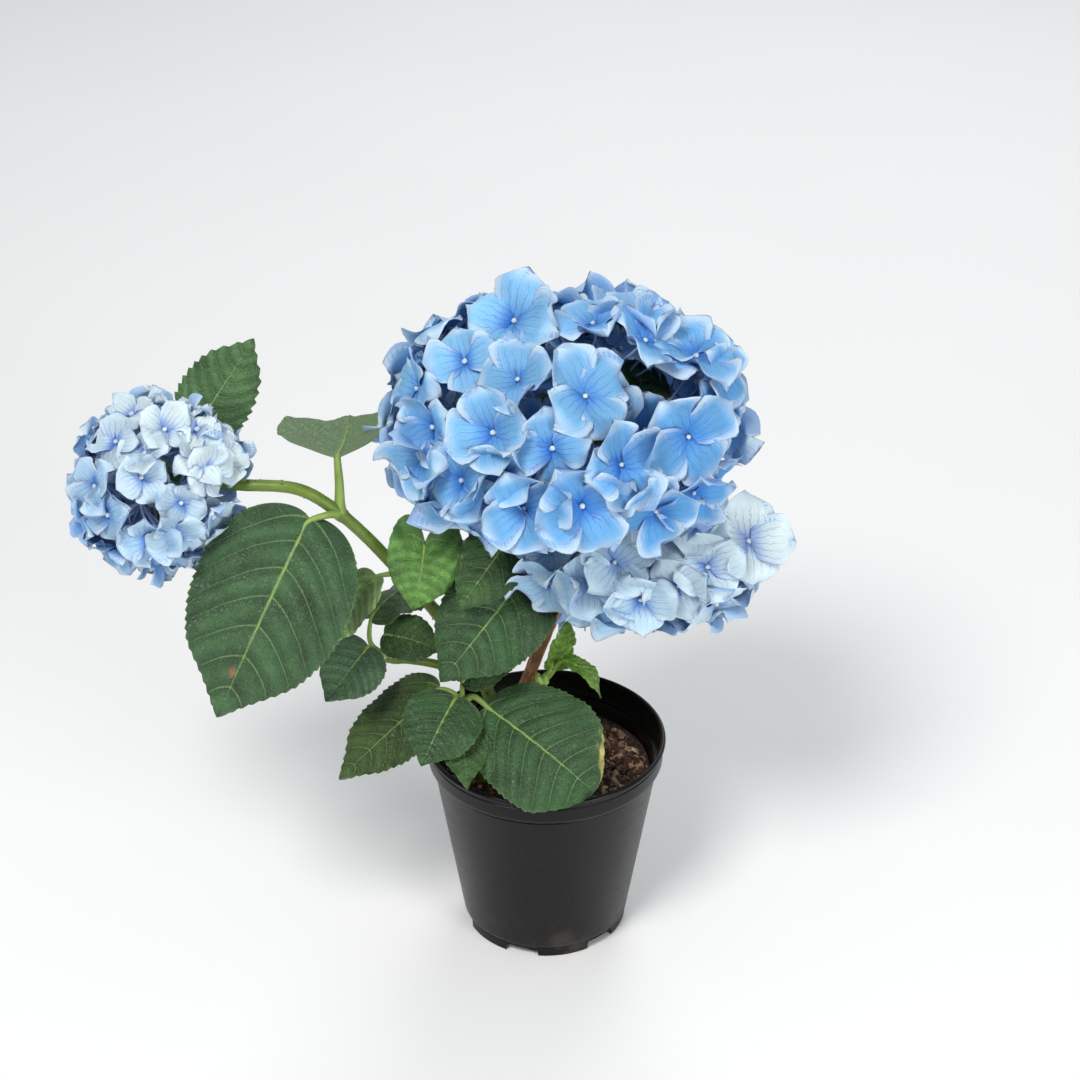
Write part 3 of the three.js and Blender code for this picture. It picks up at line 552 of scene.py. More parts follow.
class Wiring:
    """Adds nodes to one tree and joins them, with plain values wherever no link is given."""

    def __init__(self, tree: bpy.types.NodeTree) -> None:
        """Holds the tree that it wires."""
        self.tree = tree

    def feed(self, socket: bpy.types.NodeSocket, value: object) -> None:
        """Links a value to a socket, or sets the socket to it where it is plain.

        Args:
            socket: the input.
            value: a Value, a number, three or four numbers, a switch or a text.
        """
        if isinstance(value, Value):
            self.tree.links.new(value.socket, socket)
        elif isinstance(value, tuple) and len(value) == 3 and len(socket.default_value) == 4:
            socket.default_value = (*value, 1.0)
        else:
            socket.default_value = value

    def give(self, node: bpy.types.Node, **inputs: object) -> None:
        """Feeds a node's inputs by name, with underscores for spaces."""
        for key, value in inputs.items():
            self.feed(node.inputs[key.replace("_", " ")], value)

    def node(self, kind: str, settings: dict | None = None, **inputs: object) -> bpy.types.Node:
        """Adds a node.

        Args:
            kind: Blender's name of the node's type.
            settings: attributes to set on the node.
            **inputs: what its inputs take, by name.

        Returns:
            The node.
        """
        node = self.tree.nodes.new(kind)
        for key, value in (settings or {}).items():
            setattr(node, key, value)
        self.give(node, **inputs)
        return node

    def add(self, kind: str, output: int | str = 0, settings: dict | None = None, **inputs: object) -> Value:
        """Adds a node for the sake of one of its outputs.

        Args:
            kind: Blender's name of the node's type.
            output: the output's place or name.
            settings: attributes to set on the node.
            **inputs: what its inputs take, by name.

        Returns:
            What that output gives.
        """
        return Value(self, self.node(kind, settings, **inputs).outputs[output])

    def ordered(self, kind: str, settings: dict, values: dict[int, object], output: int = 0) -> Value:
        """Adds a node whose inputs are known by place, because their names repeat.

        Args:
            kind: Blender's name of the node's type.
            settings: attributes to set on the node.
            values: what its inputs take, by place.
            output: the output's place.

        Returns:
            What that output gives.
        """
        node = self.node(kind, settings)
        for place, value in values.items():
            self.feed(node.inputs[place], value)
        return Value(self, node.outputs[output])

    def math(self, operation: str, *values: float | Value) -> Value:
        """A sum, product or other operation on numbers."""
        return self.ordered("ShaderNodeMath", {"operation": operation}, dict(enumerate(values)))

    def vector(self, operation: str, *values: object) -> Value:
        """An operation on vectors."""
        return self.ordered("ShaderNodeVectorMath", {"operation": operation}, dict(enumerate(values)))

    def mix(self, share: float | Value, first: object, second: object, blend: str = "MIX") -> Value:
        """Mixes two colours by a share."""
        settings = {"data_type": "RGBA", "blend_type": blend}
        return self.ordered("ShaderNodeMix", settings, {0: share, 6: first, 7: second}, 2)

    def noise(self, vector: Value, scale: float | Value, detail: float = 3.0, rough: float = 0.55) -> Value:
        """Cloudy noise from 0 to 1."""
        return self.add("ShaderNodeTexNoise", Vector=vector, Scale=scale, Detail=detail, Roughness=rough)

    def cells(self, vector: Value, scale: float | Value, feature: str = "F1") -> Value:
        """Cells, as the distance from their middles or their edges."""
        return self.add("ShaderNodeTexVoronoi", "Distance", {"feature": feature}, Vector=vector, Scale=scale)

    def named(self, node: bpy.types.Node) -> dict[str, Value]:
        """What a node's outputs give, by name."""
        return {output.name: Value(self, output) for output in node.outputs}

    def split(self, vector: Value) -> list[Value]:
        """The three numbers of a vector."""
        return list(self.named(self.node("ShaderNodeSeparateXYZ", Vector=vector)).values())

    def reading(self, attribute: str) -> dict[str, Value]:
        """The values that the mesh holds under a name."""
        return self.named(self.node("ShaderNodeAttribute", {"attribute_name": attribute}))

    def group(self, tree: bpy.types.NodeTree, **inputs: object) -> dict[str, Value]:
        """Places a node group with its own values, and gives its outputs by name."""
        return self.named(self.node("ShaderNodeGroup", {"node_tree": tree}, **inputs))


def shader_group(
    name: str, takes: dict[str, str], gives: dict[str, str]
) -> tuple[Wiring, dict[str, Value], bpy.types.Node]:
    """Starts a shader node group with named sockets.

    Args:
        name: the group's name.
        takes: socket types of its inputs by name.
        gives: socket types of its outputs by name.

    Returns:
        Its wiring, its inputs by name and its output node.
    """
    wiring = Wiring(bpy.data.node_groups.new(name, "ShaderNodeTree"))
    for way, sockets in (("INPUT", takes), ("OUTPUT", gives)):
        for label, kind in sockets.items():
            wiring.tree.interface.new_socket(label, in_out=way, socket_type=kind)
    return wiring, wiring.named(wiring.node("NodeGroupInput")), wiring.node("NodeGroupOutput")


@dataclass
class Effects:
    """The shader groups that several finishes share."""

    grain_scale: float = 9.0
    net_width: float = 0.12
    small_net_width: float = 0.2
    small_net_scale: float = 3.1

    def __post_init__(self) -> None:
        """Makes both groups."""
        self.mottle = self.make_mottle()
        self.tissue = self.make_tissue()

    def make_mottle(self) -> bpy.types.NodeTree:
        """A colour that drifts lighter and darker in soft clouds, with a fine grain as height.

        Returns:
            The group.
        """
        wiring, given, result = shader_group(
            "mottled colour",
            {"Vector": VECTOR, "Colour": COLOUR, "Scale": NUMBER, "Strength": NUMBER},
            {"Colour": COLOUR, "Cloud": NUMBER, "Grain": NUMBER},
        )
        clouds = wiring.noise(given["Vector"], given["Scale"], 4.0, 0.5)
        grain = wiring.noise(given["Vector"], given["Scale"] * self.grain_scale, 3.0, 0.5)
        bright = 1.0 + (clouds - 0.5) * given["Strength"] * 2.0
        shade = wiring.add("ShaderNodeCombineXYZ", X=bright, Y=bright, Z=bright)
        colour = wiring.mix(1.0, given["Colour"], shade, "MULTIPLY")
        wiring.give(result, Colour=colour, Cloud=clouds, Grain=grain)
        return wiring.tree

    def make_tissue(self) -> bpy.types.NodeTree:
        """The fine net of cells and small veins that leaf and sepal tissue shows close up.

        Returns:
            The group.
        """
        wiring, given, result = shader_group(
            "plant tissue", {"Vector": VECTOR, "Scale": NUMBER}, {"Net": NUMBER, "Height": NUMBER}
        )
        large = wiring.cells(given["Vector"], given["Scale"], "DISTANCE_TO_EDGE")
        small = wiring.cells(given["Vector"], given["Scale"] * self.small_net_scale, "DISTANCE_TO_EDGE")
        net = 1.0 - large.step(0.0, self.net_width)
        fine = 1.0 - small.step(0.0, self.small_net_width)
        wiring.give(result, Net=net.most(fine * 0.4), Height=1.0 - (net + fine * 0.5) * 0.6)
        return wiring.tree


@dataclass(frozen=True)
class Look:
    """What a finish gives its shader, with the height map of its relief and its depth in metres."""

    colour: Value
    roughness: Value
    height: Value | None = None
    depth: float = 0.0
    strength: float = 1.0
    specular: float = 0.5


@dataclass(frozen=True)
class Finish:
    """A surface finish, whose subclasses wire its look."""

    name: str

    def make(self, effects: Effects) -> bpy.types.Material:
        """Makes the material.

        Args:
            effects: the shared groups.

        Returns:
            The material.
        """
        material = bpy.data.materials.new(self.name)
        material.use_nodes = True
        wiring = Wiring(material.node_tree)
        look = self.look(wiring, wiring.add("ShaderNodeTexCoord", "Object"), effects)
        shader = material.node_tree.nodes["Principled BSDF"]
        wiring.give(shader, Base_Color=look.colour, Roughness=look.roughness)
        wiring.give(shader, Specular_IOR_Level=look.specular)
        if look.height is not None:
            relief = {"Height": look.height, "Distance": look.depth, "Strength": look.strength}
            wiring.give(shader, Normal=wiring.add("ShaderNodeBump", **relief))
        return material

    def look(self, wiring: Wiring, position: Value, effects: Effects) -> Look:
        """Wires the look.

        Args:
            wiring: the material's wiring.
            position: the place on the piece, in metres.
            effects: the shared groups.

        Returns:
            The look.
        """
        raise NotImplementedError


@dataclass(frozen=True)
class PlasticFinish(Finish):
    """Black moulded plastic with a satin sheen, handling marks and a little dust."""

    colour: Colour = rgb(10, 10, 11)
    dusty: Colour = rgb(84, 76, 68)
    splash_top: float = 0.034
    splash_foot: float = 0.004
    satin: tuple[float, float] = (0.3, 0.4)

    def look(self, wiring: Wiring, position: Value, effects: Effects) -> Look:
        """Clouded black with specks of dust all over and smears near the foot.

        Args:
            wiring: the material's wiring.
            position: the place on the piece, in metres.
            effects: the shared groups.

        Returns:
            The look.
        """
        base = wiring.group(effects.mottle, Vector=position, Colour=self.colour, Scale=38.0, Strength=0.35)
        patches = wiring.noise(position, 26.0, 4.0)
        specks = wiring.cells(position, 520.0).step(0.16, 0.05) * patches.step(0.46, 0.62)
        low = wiring.split(position)[2].step(self.splash_top, self.splash_foot)
        smear = low * wiring.noise(position, 60.0, 5.0).step(0.48, 0.72)
        dust = (specks * 0.5).most(smear * 0.45)
        colour = wiring.mix(dust + patches * 0.025, base["Colour"], self.dusty)
        scuffs = wiring.noise(wiring.vector("MULTIPLY", position, (1.0, 1.0, 9.0)), 90.0, 4.0)
        rough = scuffs.step(0.3, 0.75, *self.satin) + dust * 0.4
        return Look(colour, rough, base["Grain"], 0.00012, 0.35, specular=0.28)


@dataclass(frozen=True)
class MixFinish(Finish):
    """Damp crumbs: the ground of the potting mix, or its chips, fibres and perlite."""

    colour: Colour = rgb(58, 43, 35)
    accent: Colour = rgb(98, 72, 58)
    accent_share: float = 0.6
    scale: float = 700.0
    roughness: float = 0.9

    def look(self, wiring: Wiring, position: Value, effects: Effects) -> Look:
        """Crumbs, some of them in the accent colour.

        Args:
            wiring: the material's wiring.
            position: the place on the piece, in metres.
            effects: the shared groups.

        Returns:
            The look.
        """
        crumbs = wiring.named(wiring.node("ShaderNodeTexVoronoi", Vector=position, Scale=self.scale))
        pick = wiring.split(crumbs["Color"])[0]
        base = wiring.mix(pick.step(1 - self.accent_share, 1.0), self.colour, self.accent)
        scale = self.scale * 1.3
        mottled = wiring.group(effects.mottle, Vector=position, Colour=base, Scale=scale, Strength=1.1)
        rough = pick.step(0.0, 1.0, self.roughness, self.roughness - 0.25)
        return Look(mottled["Colour"], rough, crumbs["Distance"] + mottled["Grain"], 0.0006, 0.7)


@dataclass(frozen=True)
class BarkFinish(Finish):
    """Bark of a cane, peeling in long strips, or a smooth green rind with dark flecks."""

    colour: Colour = rgb(172, 114, 80)
    strip: Colour = rgb(208, 162, 122)
    fleck: Colour = rgb(96, 60, 44)
    peeling: float = 1.0
    roughness: float = 0.8

    def look(self, wiring: Wiring, position: Value, effects: Effects) -> Look:
        """Strips and cracks that run along the cane, wrapped round it without a seam.

        Args:
            wiring: the material's wiring.
            position: the place on the piece, in metres.
            effects: the shared groups.

        Returns:
            The look.
        """
        along, turn, _ = wiring.split(wiring.reading("place")["Vector"])
        angle = turn * (2 * math.pi)
        sides = {"Y": wiring.math("COSINE", angle) * 2.2, "Z": wiring.math("SINE", angle) * 2.2}
        wrapped = wiring.add("ShaderNodeCombineXYZ", X=along * 0.06, **sides)
        strips = wiring.noise(wrapped, 2.6, 5.0, 0.62)
        base = wiring.group(effects.mottle, Vector=position, Colour=self.colour, Scale=130.0, Strength=0.45)
        colour = wiring.mix(strips.step(0.5, 0.62) * self.peeling, base["Colour"], self.strip)
        colour = wiring.mix(strips.step(0.42, 0.34) * self.peeling * 0.8, colour, self.fleck)
        flecks = wiring.cells(wrapped, 5.5).step(0.22, 0.12, 0.0, 0.75 * (1.0 - 0.6 * self.peeling))
        colour = wiring.mix(flecks, colour, self.fleck)
        rough = strips.step(0.3, 0.7, self.roughness, self.roughness - 0.12)
        return Look(colour, rough, strips + base["Grain"] * 0.4, 0.0005 * max(self.peeling, 0.25), 0.8)


@dataclass(frozen=True)
class LeafFinish(Finish):
    """A leaf: side veins that sweep forward, a pale midrib and margin, a duller underside, and painted shade
    and highlights on its pillows.
    """

    vein: Colour = rgb(146, 174, 112)
    margin: Colour = rgb(112, 140, 72)
    under: Colour = rgb(122, 148, 110)
    under_net: Colour = rgb(150, 172, 120)
    under_vein: Colour = rgb(166, 186, 124)
    # Painted shade: darkens the upper side, so that it stays darker beside the veins.
    shaded: Colour = (0.8, 0.84, 0.8)
    # Painted light: lifts the pillows between the veins, as highlights on their crowns.
    raised: Colour = (2.1, 1.9, 1.9)
    roughness: float = 0.42

    def look(self, wiring: Wiring, position: Value, effects: Effects) -> Look:
        """Veins in the places where the blade's own mesh has its furrows, a net between them, and painted
        shade and highlights.

        Args:
            wiring: the material's wiring.
            position: the place on the piece, in metres.
            effects: the shared groups.

        Returns:
            The look.
        """
        along, across, top = wiring.split(wiring.reading("place")["Vector"])
        tint = wiring.reading("tint")["Color"]
        out = abs(across)
        broad = along**FULLNESS * (1.0 - along) ** TIP_FULLNESS / FULL_WIDTH
        drift = (wiring.noise(position, 90.0) - 0.5) * 0.03
        root = along - (out * broad) ** VEIN_BEND * VEIN_SWEEP + drift * out
        phase = (root.most(0.0) ** VEIN_CROWDING + root.least(0.0) * BASE_VEINS) * SIDE_VEINS
        reach = 0.5 - abs(wiring.math("FRACT", phase) - 0.5)
        side_vein = (1.0 - (reach / (0.056 - out * 0.04)).least(1.0)).step(0.0, 0.8)
        midrib = (1.0 - (out / (0.034 - along * 0.016)).least(1.0)).step(0.0, 0.6)
        vein = (side_vein * 0.5).most(midrib * along.step(1.0, 0.1, 0.45, 1.0))
        tissue = wiring.group(effects.tissue, Vector=position, Scale=300.0)
        base = wiring.group(effects.mottle, Vector=position, Colour=tint, Scale=55.0, Strength=1.0)
        colour = wiring.mix(tissue["Net"] * 0.09, base["Colour"], self.vein)
        # Painted shade over the whole upper side, then painted light on the pillows between the side veins.
        colour = wiring.mix(1.0, colour, self.shaded, "MULTIPLY")
        pillow = wiring.mix(1.0, colour, self.raised, "MULTIPLY")
        colour = wiring.mix(reach.step(0.04, 0.46) * 0.5, colour, pillow)
        colour = wiring.mix(vein * 0.8, colour, self.vein)
        upper = wiring.mix(out.step(0.965, 1.0) * 0.5, colour, self.margin)
        below = wiring.mix(0.4, tint, self.under)
        below = wiring.mix(tissue["Net"] * 0.18, below, self.under_net)
        below = wiring.mix(vein * 0.65, below, self.under_vein)
        colour = wiring.mix(top.step(0.4, 0.6), below, upper)
        rough = base["Cloud"].step(0.3, 0.7, self.roughness - 0.06, self.roughness + 0.1)
        return Look(colour, rough, tissue["Height"] + vein * -0.8, 0.0006, 0.9)


@dataclass(frozen=True)
class SepalFinish(Finish):
    """A sepal: azure at its foot, veins that fan out to a whitish rim, partly its own paler margin and partly
    a painted highlight, and a violet back.
    """

    foot: Colour = rgb(22, 108, 206)
    # Partly the sepal's own paler margin, partly a painted highlight along its rim.
    rim: Colour = rgb(220, 238, 250)
    back: Colour = rgb(120, 166, 226)
    vein: Colour = rgb(40, 106, 194)
    fans: Sequence[Triple] = ((3.5, 0.1, 0.0), (9.5, 0.18, 0.3))

    def look(self, wiring: Wiring, position: Value, effects: Effects) -> Look:
        """Two fans of veins, each with its count, its width and where along the sepal it starts.

        Args:
            wiring: the material's wiring.
            position: the place on the piece, in metres.
            effects: the shared groups.

        Returns:
            The look.
        """
        along, across, top = wiring.split(wiring.reading("place")["Vector"])
        tint = wiring.reading("tint")
        drift = (wiring.noise(position, 260.0) - 0.5) * 1.1
        lines = []
        for count, width, start in self.fans:
            nearest = abs(wiring.math("FRACT", across * count + drift) - 0.5)
            lines.append(nearest.step(width, 0.02) * along.step(start, start + 0.12))
        veins = lines[0].most(lines[1] * 0.6) * along.step(0.95, 0.3)
        base = wiring.group(effects.mottle, Vector=position, Colour=tint["Color"], Scale=90.0, Strength=0.24)
        tissue = wiring.group(effects.tissue, Vector=position, Scale=620.0)
        # The whitish rim: partly a real paler margin, partly a painted highlight.
        edge = abs(across).step(0.5, 1.04).most(along.step(0.62, 1.04))
        colour = wiring.mix(edge * 0.84, base["Colour"], self.rim)
        colour = wiring.mix(veins * 0.46, colour, self.vein)
        near = along.step(0.46, 0.04) * tint["Alpha"].step(0.0, 1.0, 0.55, 0.95)
        colour = wiring.mix(near, colour, self.foot)
        back = wiring.mix(veins * 0.4, wiring.mix(0.55, colour, self.back), self.vein)
        colour = wiring.mix(top.step(0.4, 0.6), back, colour)
        rough = base["Cloud"].step(0.3, 0.7, 0.52, 0.68)
        return Look(colour, rough, tissue["Height"] + veins * -1.2, 0.0002, 0.8)


@dataclass(frozen=True)
class RindFinish(Finish):
    """Smooth green or bluish rind: petioles, flower stalks and bud scales."""

    roughness: float = 0.5
    scale: float = 150.0

    def look(self, wiring: Wiring, position: Value, effects: Effects) -> Look:
        """The piece's own tint, mottled.

        Args:
            wiring: the material's wiring.
            position: the place on the piece, in metres.
            effects: the shared groups.

        Returns:
            The look.
        """
        tint = wiring.reading("tint")["Color"]
        base = wiring.group(effects.mottle, Vector=position, Colour=tint, Scale=self.scale, Strength=0.35)
        rough = base["Cloud"].step(0.3, 0.7, self.roughness - 0.06, self.roughness + 0.08)
        return Look(base["Colour"], rough, base["Grain"], 0.0001, 0.5)


@dataclass(frozen=True)
class BeadFinish(Finish):
    """The pale bead in the middle of a floret."""

    colour: Colour = rgb(196, 214, 238)
    crown: Colour = rgb(226, 232, 214)

    def look(self, wiring: Wiring, position: Value, effects: Effects) -> Look:
        """Bluish white with greener clouds.

        Args:
            wiring: the material's wiring.
            position: the place on the piece, in metres.
            effects: the shared groups.

        Returns:
            The look.
        """
        base = wiring.group(effects.mottle, Vector=position, Colour=self.colour, Scale=420.0, Strength=0.3)
        colour = wiring.mix(base["Cloud"].step(0.4, 0.65), base["Colour"], self.crown)
        return Look(colour, base["Cloud"].step(0.3, 0.7, 0.35, 0.5), base["Grain"], 0.0001, 0.4)


@dataclass(frozen=True)
class FloorFinish(Finish):
    """The plain pale floor."""

    colour: Colour = rgb(250, 250, 249)

    def look(self, wiring: Wiring, position: Value, effects: Effects) -> Look:
        """Nearly even."""
        base = wiring.group(effects.mottle, Vector=position, Colour=self.colour, Scale=3.0, Strength=0.02)
        return Look(base["Colour"], base["Cloud"].step(0.0, 1.0, 0.7, 0.8))


class Crumb(Enum):
    """What is strewn."""

    LUMP = "a rounded chip"
    STRAND = "a thin curved fibre"


@dataclass
class Sprinkler:
    """A Geometry Nodes tree that strews crumbs over a surface or, if aligned, sets one on each point."""

    name: str
    crumb: Crumb
    aligned: bool = False

    SIZES = ("Density", "Smallest", "Largest", "Flatness", "Length", "Roughness")

    def __post_init__(self) -> None:
        """Builds the tree, with named inputs for the material, the count, the sizes and the seed."""
        self.tree = bpy.data.node_groups.new(self.name, "GeometryNodeTree")
        sockets = [("Surface", "NodeSocketGeometry"), ("Finish", "NodeSocketMaterial")]
        sockets += [(label, NUMBER) for label in self.SIZES] + [("Seed", "NodeSocketInt")]
        self.tree.interface.new_socket("Geometry", in_out="OUTPUT", socket_type="NodeSocketGeometry")
        for label, kind in sockets:
            self.tree.interface.new_socket(label, in_out="INPUT", socket_type=kind)
        wiring = Wiring(self.tree)
        given = wiring.named(wiring.node("NodeGroupInput"))
        shape = self.lump(wiring, given) if self.crumb is Crumb.LUMP else self.strand(wiring)
        points, turn = self.facing(wiring, given) if self.aligned else self.strewn(wiring, given)
        limits = {2: given["Smallest"], 3: given["Largest"]}
        wide = wiring.ordered("FunctionNodeRandomValue", {"data_type": "FLOAT"}, limits, 1)
        wiring.feed(wide.socket.node.inputs["Seed"], given["Seed"])
        long, flat = wide * given["Length"], wide * given["Flatness"]
        extent = wiring.add("ShaderNodeCombineXYZ", X=wide, Y=long, Z=flat)
        placing = {"Points": points, "Instance": shape, "Rotation": turn, "Scale": extent}
        made = wiring.add("GeometryNodeInstanceOnPoints", **placing)
        made = wiring.add("GeometryNodeRealizeInstances", Geometry=made)
        made = wiring.add("GeometryNodeSetShadeSmooth", Geometry=made)
        made = wiring.add("GeometryNodeSetMaterial", Geometry=made, Material=given["Finish"])
        wiring.give(wiring.node("NodeGroupOutput"), Geometry=made)

    @staticmethod
    def lump(wiring: Wiring, given: dict[str, Value]) -> Value:
        """A rounded chip, as uneven as the tree's roughness says.

        Args:
            wiring: the tree's wiring.
            given: the tree's inputs.

        Returns:
            Its mesh.
        """
        ball = wiring.add("GeometryNodeMeshUVSphere", "Mesh", Segments=8, Rings=6, Radius=0.5)
        bumps = wiring.add("ShaderNodeTexNoise", "Color", Scale=1.7, Detail=2.0)
        scaled = wiring.vector("SCALE", wiring.vector("SUBTRACT", bumps, (0.5, 0.5, 0.5)))
        wiring.give(scaled.socket.node, Scale=given["Roughness"])
        return wiring.add("GeometryNodeSetPosition", Geometry=ball, Offset=scaled)

    @staticmethod
    def strand(wiring: Wiring) -> Value:
        """A thin curved fibre, closed at its ends.

        Args:
            wiring: the tree's wiring.

        Returns:
            Its mesh.
        """
        arc = wiring.add("GeometryNodeCurveArc", "Curve", Resolution=9, Radius=0.6, Sweep_Angle=1.5)
        section = wiring.add("GeometryNodeCurvePrimitiveCircle", "Curve", Resolution=5, Radius=0.03)
        return wiring.add("GeometryNodeCurveToMesh", "Mesh", Curve=arc, Profile_Curve=section, Fill_Caps=True)

    @staticmethod
    def facing(wiring: Wiring, given: dict[str, Value]) -> tuple[Value, Value]:
        """Each point of the source, and the turn along the way that it faces.

        Args:
            wiring: the tree's wiring.
            given: the tree's inputs.

        Returns:
            The points and the turns.
        """
        points = wiring.add("GeometryNodeMeshToPoints", Mesh=given["Surface"])
        way = wiring.add("GeometryNodeInputNamedAttribute", 0, {"data_type": "FLOAT_VECTOR"}, Name="facing")
        return points, wiring.add("FunctionNodeAlignRotationToVector", 0, {"axis": "Z"}, Vector=way)

    @staticmethod
    def strewn(wiring: Wiring, given: dict[str, Value]) -> tuple[Value, Value]:
        """Points strewn over the source's faces, and a random turn on each, lying or leaning.

        Args:
            wiring: the tree's wiring.
            given: the tree's inputs.

        Returns:
            The points and the turns.
        """
        source = {"Mesh": given["Surface"], "Density": given["Density"], "Seed": given["Seed"]}
        strewn = wiring.named(wiring.node("GeometryNodeDistributePointsOnFaces", **source))
        limits = {0: (-0.5, -0.5, 0.0), 1: (0.5, 0.5, 6.3)}
        spin = wiring.ordered("FunctionNodeRandomValue", {"data_type": "FLOAT_VECTOR"}, limits)
        wiring.feed(spin.socket.node.inputs["Seed"], given["Seed"])
        euler = wiring.add("FunctionNodeEulerToRotation", Euler=spin)
        space = {"rotation_space": "LOCAL"}
        turns = {"Rotation": strewn["Rotation"], "Rotate_By": euler}
        return strewn["Points"], wiring.add("FunctionNodeRotateRotation", 0, space, **turns)

    def spread(
        self, name: str, source: bpy.types.Mesh, material: bpy.types.Material, values: dict, slot: str
    ) -> None:
        """Runs the tree on a mesh and keeps the result as a plain piece.

        Args:
            name: the new piece's name.
            source: the surface or the points that it works on.
            material: the finish of what it makes.
            values: its named inputs.
            slot: not used.
        """
        holder = linked(name + "_source", source)
        modifier = holder.modifiers.new("sprinkle", "NODES")
        modifier.node_group = self.tree
        for item in self.tree.interface.items_tree:
            if item.name in values:
                modifier[item.identifier] = values[item.name]
            if item.name == "Finish":
                modifier[item.identifier] = material
        mesh = bpy.data.meshes.new_from_object(holder.evaluated_get(bpy.context.evaluated_depsgraph_get()))
        mesh.name = name
        bpy.data.objects.remove(holder)
        settle(linked(name, mesh))


def beside(radius: float, height: float, steps: Iterable[tuple[float, float]]) -> list[tuple[float, float]]:
    """Points of an outline, each given by its distance out and up from one corner."""
    return [(radius + out, height + up) for out, up in steps]


@dataclass
class Pot:
    """The nursery pot: rolled lip, collar over a groove, tapering body and a notched foot."""

    around: int = 360
    lip_bulge: float = 1.45
    lip_drop: float = 1.6
    body_rings: int = 12
    lip_rings: int = 10
    sharp: float = 38

    def profile(self) -> list[tuple[float, float]]:
        """The wall's outline, from the middle of the underside round to the middle of the floor.

        Returns:
            The radius and height of each ring.
        """
        notch = FOOT_RADIUS - NOTCH_REACH
        collar, groove = RIM_RADIUS - COLLAR_INSET, RIM_RADIUS - GROOVE_INSET
        lip = RIM_RADIUS - self.lip_bulge
        body_top = POT_HEIGHT - COLLAR_DEPTH
        outline = [(MIDDLE_RING, 0.0), (18.0, 0.0), (18.4, 0.35), (19.2, 0.35), (19.6, 0.0)]
        outline += beside(notch, 0.0, ((-0.2, 0.0), (0.1, 0.0)))
        outline += beside(FOOT_RADIUS, 0.0, ((-0.5, 0.0), (0.0, 0.4)))
        outline += beside(FOOT_RADIUS, FOOT_HEIGHT, ((0.0, -0.7), (-0.5, -0.2), (0.4, 0.3), (FOOT_STEP, 0.9)))
        for share in np.linspace(0.02, 0.97, self.body_rings):
            height = lerp(FOOT_HEIGHT + 0.9, body_top - 1, share)
            outline.append((lerp(FOOT_RADIUS + FOOT_STEP, groove + 0.6, share), height))
        outline += beside(groove, body_top, ((0.6, -1.0), (0.1, -0.5), (0.0, 0.0), (0.5, 0.4), (1.9, 0.9)))
        outline += beside(collar, body_top, ((-0.6, 1.5), (-0.1, 2.4), (0.0, 4.0)))
        outline += beside(collar, POT_HEIGHT - LIP_HEIGHT, ((0.0, -1.3), (-0.35, -0.9), (-0.35, -0.5)))
        for angle in np.radians(np.linspace(-65, 100, self.lip_rings)):
            height = POT_HEIGHT - self.lip_drop + self.lip_drop * math.sin(angle)
            outline.append((lip + self.lip_bulge * math.cos(angle), height))
        outline += [(lip - 1.2, POT_HEIGHT - 0.7), (collar - WALL, POT_HEIGHT - 2.2)]
        outline += beside(collar - WALL, LEDGE_HEIGHT, ((-0.3, 0.8), (-0.8, 0.0)))
        outline += beside(groove - WALL, LEDGE_HEIGHT, ((0.2, -0.3), (-0.2, -1.0)))
        outline += beside(FOOT_RADIUS - WALL, FLOOR_HEIGHT, ((FOOT_STEP, 1), (-1, 0)))
        return [*outline, (MIDDLE_RING, FLOOR_HEIGHT)]

    def build(self, kit: Kit) -> None:
        """Builds the pot, with the foot raised at each drainage notch.

        Args:
            kit: the finishes and the sprinklers.
        """
        rings = turned(self.profile(), self.around)
        turn = np.degrees(np.arctan2(rings[..., 1], rings[..., 0]))
        radius = np.hypot(rings[..., 0], rings[..., 1])
        step = 360 / NOTCH_COUNT
        off = (turn - FIRST_NOTCH_AT + step / 2) % step - step / 2
        aside = np.abs(radius * np.sin(np.radians(off)))
        notched = (radius > FOOT_RADIUS - NOTCH_REACH) & (aside < NOTCH_WIDTH / 2)
        rings[..., 2] = np.where(notched & (rings[..., 2] < NOTCH_HEIGHT), NOTCH_HEIGHT, rings[..., 2])
        patch = Patch(rings, np.zeros_like(rings))
        make_piece("pot_shell", [patch], kit.plastic, ["pot"], self.sharp)


